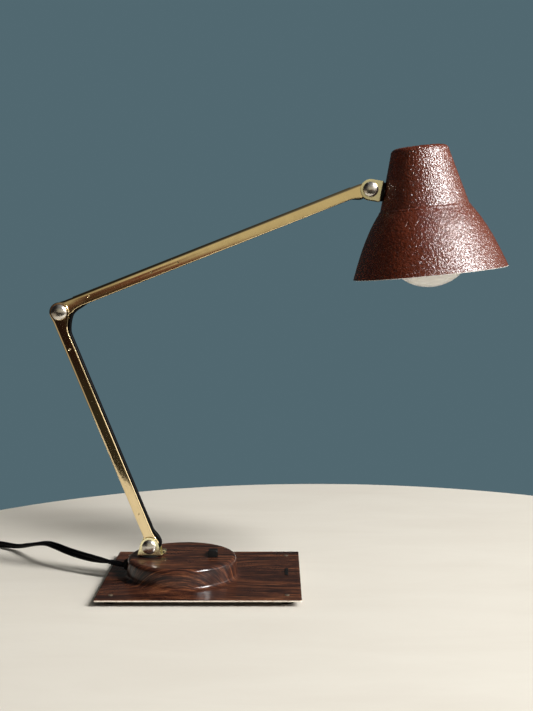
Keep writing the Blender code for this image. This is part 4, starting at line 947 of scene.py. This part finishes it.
def wrinkle(p):
    """Height of the wrinkle finish at a point in mm: worm-like ridges about 1.5 mm apart."""
    w = noise.noise_vector(p * 0.5) * 0.9
    q = (p + w) * 0.66
    a = 1.0 - abs(noise.noise(q)) * 3.2
    b = noise.noise(p * 1.15 + Vector((7.1, 3.3, 9.7)))
    return max(a, -0.4) * 0.62 + b * 0.5


def build_shade():
    steps = 520
    outer = shade_line(0.62)
    coarse = shade_line(3.0)
    inner = inset(coarse, SHADE_T)
    inner[-1] = (SHADE_RIM_R - SHADE_T * 0.95, 0.02)
    bm = bmesh.new()
    rings = []
    for idx, (r, z) in enumerate(outer):
        if r < 1e-6:
            rings.append([bm.verts.new((0, 0, z * MM))])
            continue
        a, b = outer[idx - 1], outer[min(idx + 1, len(outer) - 1)]
        dx, dz = b[0] - a[0], b[1] - a[1]
        m = hypot(dx, dz)
        nr, nz = -dz / m, dx / m
        fade = min(1.0, max(z, 0.0) / 1.2)
        row = []
        for k in range(steps):
            t = 2 * pi * k / steps
            p = Vector((r * cos(t), r * sin(t), z))
            h = 0.36 * fade * wrinkle(p) - 0.15
            row.append(bm.verts.new(((r + nr * h) * cos(t) * MM, (r + nr * h) * sin(t) * MM, (z + nz * h) * MM)))
        rings.append(row)
    n_out = len(rings)
    edge = [(bell_r(0.45) - 0.1, 0.45), (bell_r(0.35) + 0.08, 0.36), (SHADE_RIM_R + 0.05, 0.12), (SHADE_RIM_R - 0.4, -0.02), (SHADE_RIM_R - 0.68, 0.04)]
    for v in rings.pop():
        bm.verts.remove(v)
    for r, z in edge + inner[::-1]:
        if r < 1e-6:
            rings.append([bm.verts.new((0, 0, z * MM))])
        else:
            rings.append([bm.verts.new((r * MM * cos(2 * pi * k / steps), r * MM * sin(2 * pi * k / steps), z * MM)) for k in range(steps)])
    for i, (a, b) in enumerate(zip(rings, rings[1:])):
        for k in range(steps):
            j = (k + 1) % steps
            face = []
            for v in (a[k % len(a)], a[j % len(a)], b[j % len(b)], b[k % len(b)]):
                if v not in face:
                    face.append(v)
            if len(face) > 2:
                f = bm.faces.new(face)
                f.material_index = 1 if i >= n_out else 0
    obj = to_object("shade_shell", bm, [M_PAINT, M_WHITE], 60)
    tool = rod_cutter(3.75, 8, (1, 0, 0), (WALL, 0, 0), 40)
    tool.transform(T_SHADE.inverted() @ T_ROLL)
    combine(obj, [('DIFFERENCE', tool)], 60)
    return put(obj, "shade_head", T_SHADE, ["shade"])


shade = build_shade()

# ------------------------------------------------------------------ bulb
BULB_LOW, FACE_R, CHEEK_R, CHEEK_AT = -11.7, 38.3, 14.0, (17.75, 10.0)
line = [tuple(p) for p in smooth_path([(11.3, 76.0), (11.4, 61.0), (14.5, 50.5), (22.5, 34.0), (29.0, 20.0), (31.75, 10.0)], 8)]
line += arc(*CHEEK_AT, CHEEK_R, -4, -43.1, 10)
meet = 46.9
line += [(FACE_R * sin(radians(a)), BULB_LOW + FACE_R - FACE_R * cos(radians(a))) for a in [meet - meet * k / 20 for k in range(0, 20)] if FACE_R * sin(radians(a)) < line[-1][0] - 0.4]
line += [(0.0, BULB_LOW)]
line_in = inset(line, 0.9)
line_in[-1] = (0.0, BULB_LOW + 0.9)
line_in[0] = (line[0][0] - 0.9, line[0][1])
bulb = lathe("bulb", line_in[::-1] + line, M_BULB, 96, 60)
put(bulb, "shade_head", T_SHADE @ shift((0, 0, 76)) @ Matrix.Rotation(radians(-1.0), 4, "Y") @ shift((0, 0, -76)), ["bulb_glass"])

# ------------------------------------------------------------------ lamp wire
WIRE_W, WIRE_T = 2.45, 1.5


def wire_piece(name, points, per_leg=8):
    return to_object(name, ribbon_bm(smooth_path(points, per_leg), WIRE_W, WIRE_T), M_CORD, 50)


def world(matrix, p):
    return (matrix @ (Vector(p) * MM)) / MM


WX_LOW, WZ_UP = 6.6, 0.4
low_a, low_b = world(T_LOWER, (WX_LOW, 0, 26)), world(T_LOWER, (WX_LOW, 0, E_Z - 27))
wire = wire_piece("wire_lower", [low_a, world(T_LOWER, (WX_LOW, 0, 60)), world(T_LOWER, (WX_LOW, 0, 140)), low_b])
put(wire, "lower_arm", nodes=["lower_arm_wire"])
up_a, up_b = world(T_UPPER, (27, 0, WZ_UP)), world(T_UPPER, (H_X - 27, 0, WZ_UP))
wire = wire_piece("wire_upper", [up_a, world(T_UPPER, (90, 0, WZ_UP)), world(T_UPPER, (190, 0, WZ_UP)), up_b])
put(wire, "upper_arm", nodes=["upper_arm_wire"])

B, E, H = PIVOT_BASE, PIVOT_ELBOW, PIVOT_HEAD


def from_pivot(p, x, z):
    return (p.x + x, 0, p.z + z)


base_pts = [(B.x, 0, BOSS_TOP - 3.0), (B.x, 0, BOSS_TOP + 2.4), from_pivot(B, 1.6, -4.9), from_pivot(B, 5.2, -3.6), from_pivot(B, 8.3, 0.4),
            from_pivot(B, 8.2, 4.4), from_pivot(B, 5.7, 8.6), from_pivot(B, 2.3, 12.8), world(T_LOWER, (WX_LOW + 0.1, 0, 19)), low_a]
wire = wire_piece("wire_base", base_pts)
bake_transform(wire)
elbow_pts = [low_b, world(T_LOWER, (WX_LOW + 0.2, 0, E_Z - 19)), from_pivot(E, 7.7, -11.2), from_pivot(E, 8.6, -5.6), from_pivot(E, 10.2, -1.2),
             from_pivot(E, 13.6, 2.4), from_pivot(E, 18.0, 5.2), up_a]
wire = wire_piece("wire_elbow", elbow_pts)
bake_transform(wire)
head_pts = [up_b, world(T_UPPER, (H_X - 18, 0, -0.2)), world(T_UPPER, (H_X - 10, 0, -3.2)), world(T_HEAD, (-3.2, 0, -5.0)), world(T_HEAD, (2.0, 0, -4.9)),
            world(T_HEAD, (5.2, 0, -2.4)), world(T_HEAD, (8.0, 0, -0.2)), world(T_HEAD, (14.8, 0, 0))]
wire = wire_piece("wire_head", head_pts)
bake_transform(wire)

# ------------------------------------------------------------------ stage, light, camera
bm = bmesh.new()
ring_pts = [bm.verts.new((0.106 + 0.504 * cos(2 * pi * k / 256), max(-0.445, -0.095 + 0.504 * sin(2 * pi * k / 256)), 0.0)) for k in range(256)]
bm.faces.new(ring_pts)
low = bmesh.ops.extrude_face_region(bm, geom=list(bm.faces))
for v in [g for g in low["geom"] if isinstance(g, bmesh.types.BMVert)]:
    v.co.z -= 0.02
m_floor, t, b = new_material("pale_floor", Roughness=0.6, Specular_IOR_Level=0.3)
n = noise_tex(t, where(t, (5, 16, 5)), 1.0, 5.0, 0.6, 0.6)
n2 = noise_tex(t, where(t, (300, 300, 300)), 1.0, 4.0, 0.6)
link(t, mix(t, remap(t, n, 0.35, 0.7), (0.72, 0.69, 0.62), (0.68, 0.645, 0.575)), b, "Base Color")
bump(t, b, n2, 0.00005, 0.3)
floor = to_object("floor", bm, m_floor, 30)


def area(name, at, aim, size, power, colour=(1, 1, 1), size_y=None):
    light = bpy.data.lights.new(name, 'AREA')
    light.energy = power
    light.color = colour
    light.size = size
    if size_y:
        light.shape = 'RECTANGLE'
        light.size_y = size_y
    obj = bpy.data.objects.new(name, light)
    bpy.context.scene.collection.objects.link(obj)
    obj.location = at
    obj.rotation_mode = 'QUATERNION'
    obj.rotation_quaternion = (Vector(aim) - Vector(at)).to_track_quat('-Z', 'Y')
    return obj


area("key", (2.45, -1.42, 2.15), (0.08, 0.0, 0.15), 0.5, 195.0, (1.0, 0.98, 0.955), 1.6)
gloss = area("gloss_panel", (2.3, -1.93, 2.05), (0.05, 0.0, 0.1), 1.3, 160.0, (0.985, 0.975, 1.0), 0.5)
gloss.visible_diffuse = False
area("side", (1.75, 0.0, 0.55), (0.05, 0.0, 0.14), 1.3, 8.5, (1.0, 0.965, 0.93), 0.8)

w = bpy.data.worlds.new("room")
bpy.context.scene.world = w
w.use_nodes = True
t = w.node_tree
back = t.nodes["Background"]
geo = add(t, "ShaderNodeTexCoord")
xyz = add(t, "ShaderNodeSeparateXYZ", {0: geo.outputs["Generated"]})
north = remap(t, xyz.outputs["Y"], -0.3, 0.5)
side = remap(t, xyz.outputs["X"], -0.35, 0.6)
height = xyz.outputs["Z"]
low_room = ramp(t, remap(t, height, -0.15, 0.15), [(0.10, (0.030, 0.026, 0.017)), (0.25, (0.016, 0.004, 0.003)), (0.345, (0.018, 0.008, 0.005)),
                                                 (0.37, (0.055, 0.048, 0.028)), (0.42, (0.050, 0.022, 0.013)), (0.455, (0.12, 0.018, 0.012)),
                                                 (0.507, (0.12, 0.020, 0.013)), (0.545, (0.52, 0.48, 0.35))])
warm = low_room
left_low = mix(t, remap(t, xyz.outputs["X"], -0.3, -0.6), (0.0, 0.0, 0.0), (0.42, 0.36, 0.27))
left_low = mix(t, remap(t, height, -0.12, -0.2), (0.0, 0.0, 0.0), left_low)
above = mix(t, remap(t, height, 0.10, 0.5), warm, (0.15, 0.15, 0.147))
dim = mix(t, remap(t, xyz.outputs["X"], -0.42, -0.12), (0.012, 0.009, 0.008), above)
dim = mix(t, 1.0, dim, left_low, "ADD")
room = mix(t, north, dim, mix(t, side, (0.025, 0.036, 0.042), (0.30, 0.29, 0.26)))
path = add(t, "ShaderNodeLightPath")
room = mix(t, maths(t, "MULTIPLY", remap(t, xyz.outputs["Y"], 0.55, 0.9), remap(t, height, 0.7, 0.3)), room, (0.055, 0.055, 0.052))
seen = mix(t, path.outputs["Is Camera Ray"], room, (0.083, 0.139, 0.163))
t.links.new(seen, back.inputs["Color"])
back.inputs["Strength"].default_value = 1.0

cam_data = bpy.data.cameras.new("camera")
cam_data.lens = 36.0 * 1068.0 / 711.0
cam_data.sensor_width = 36.0
cam_data.sensor_fit = 'AUTO'
cam_data.clip_start, cam_data.clip_end = 0.05, 20.0
cam = bpy.data.objects.new("camera", cam_data)
bpy.context.scene.collection.objects.link(cam)
pitch, yaw, roll = radians(4.699), radians(0.589), radians(-0.192)
fwd = Vector((-sin(yaw) * cos(pitch), cos(yaw) * cos(pitch), -sin(pitch)))
right_v = Vector((cos(yaw), sin(yaw), 0))
up_v = right_v.cross(fwd)
rr = right_v * cos(roll) + up_v * sin(roll)
uu = -right_v * sin(roll) + up_v * cos(roll)
cam.matrix_world = Matrix.Translation((0.06355, -0.89505, 0.26679)) @ Matrix((rr, uu, -fwd)).transposed().to_4x4()
bpy.context.scene.camera = cam
bpy.context.scene.view_settings.view_transform = 'Standard'
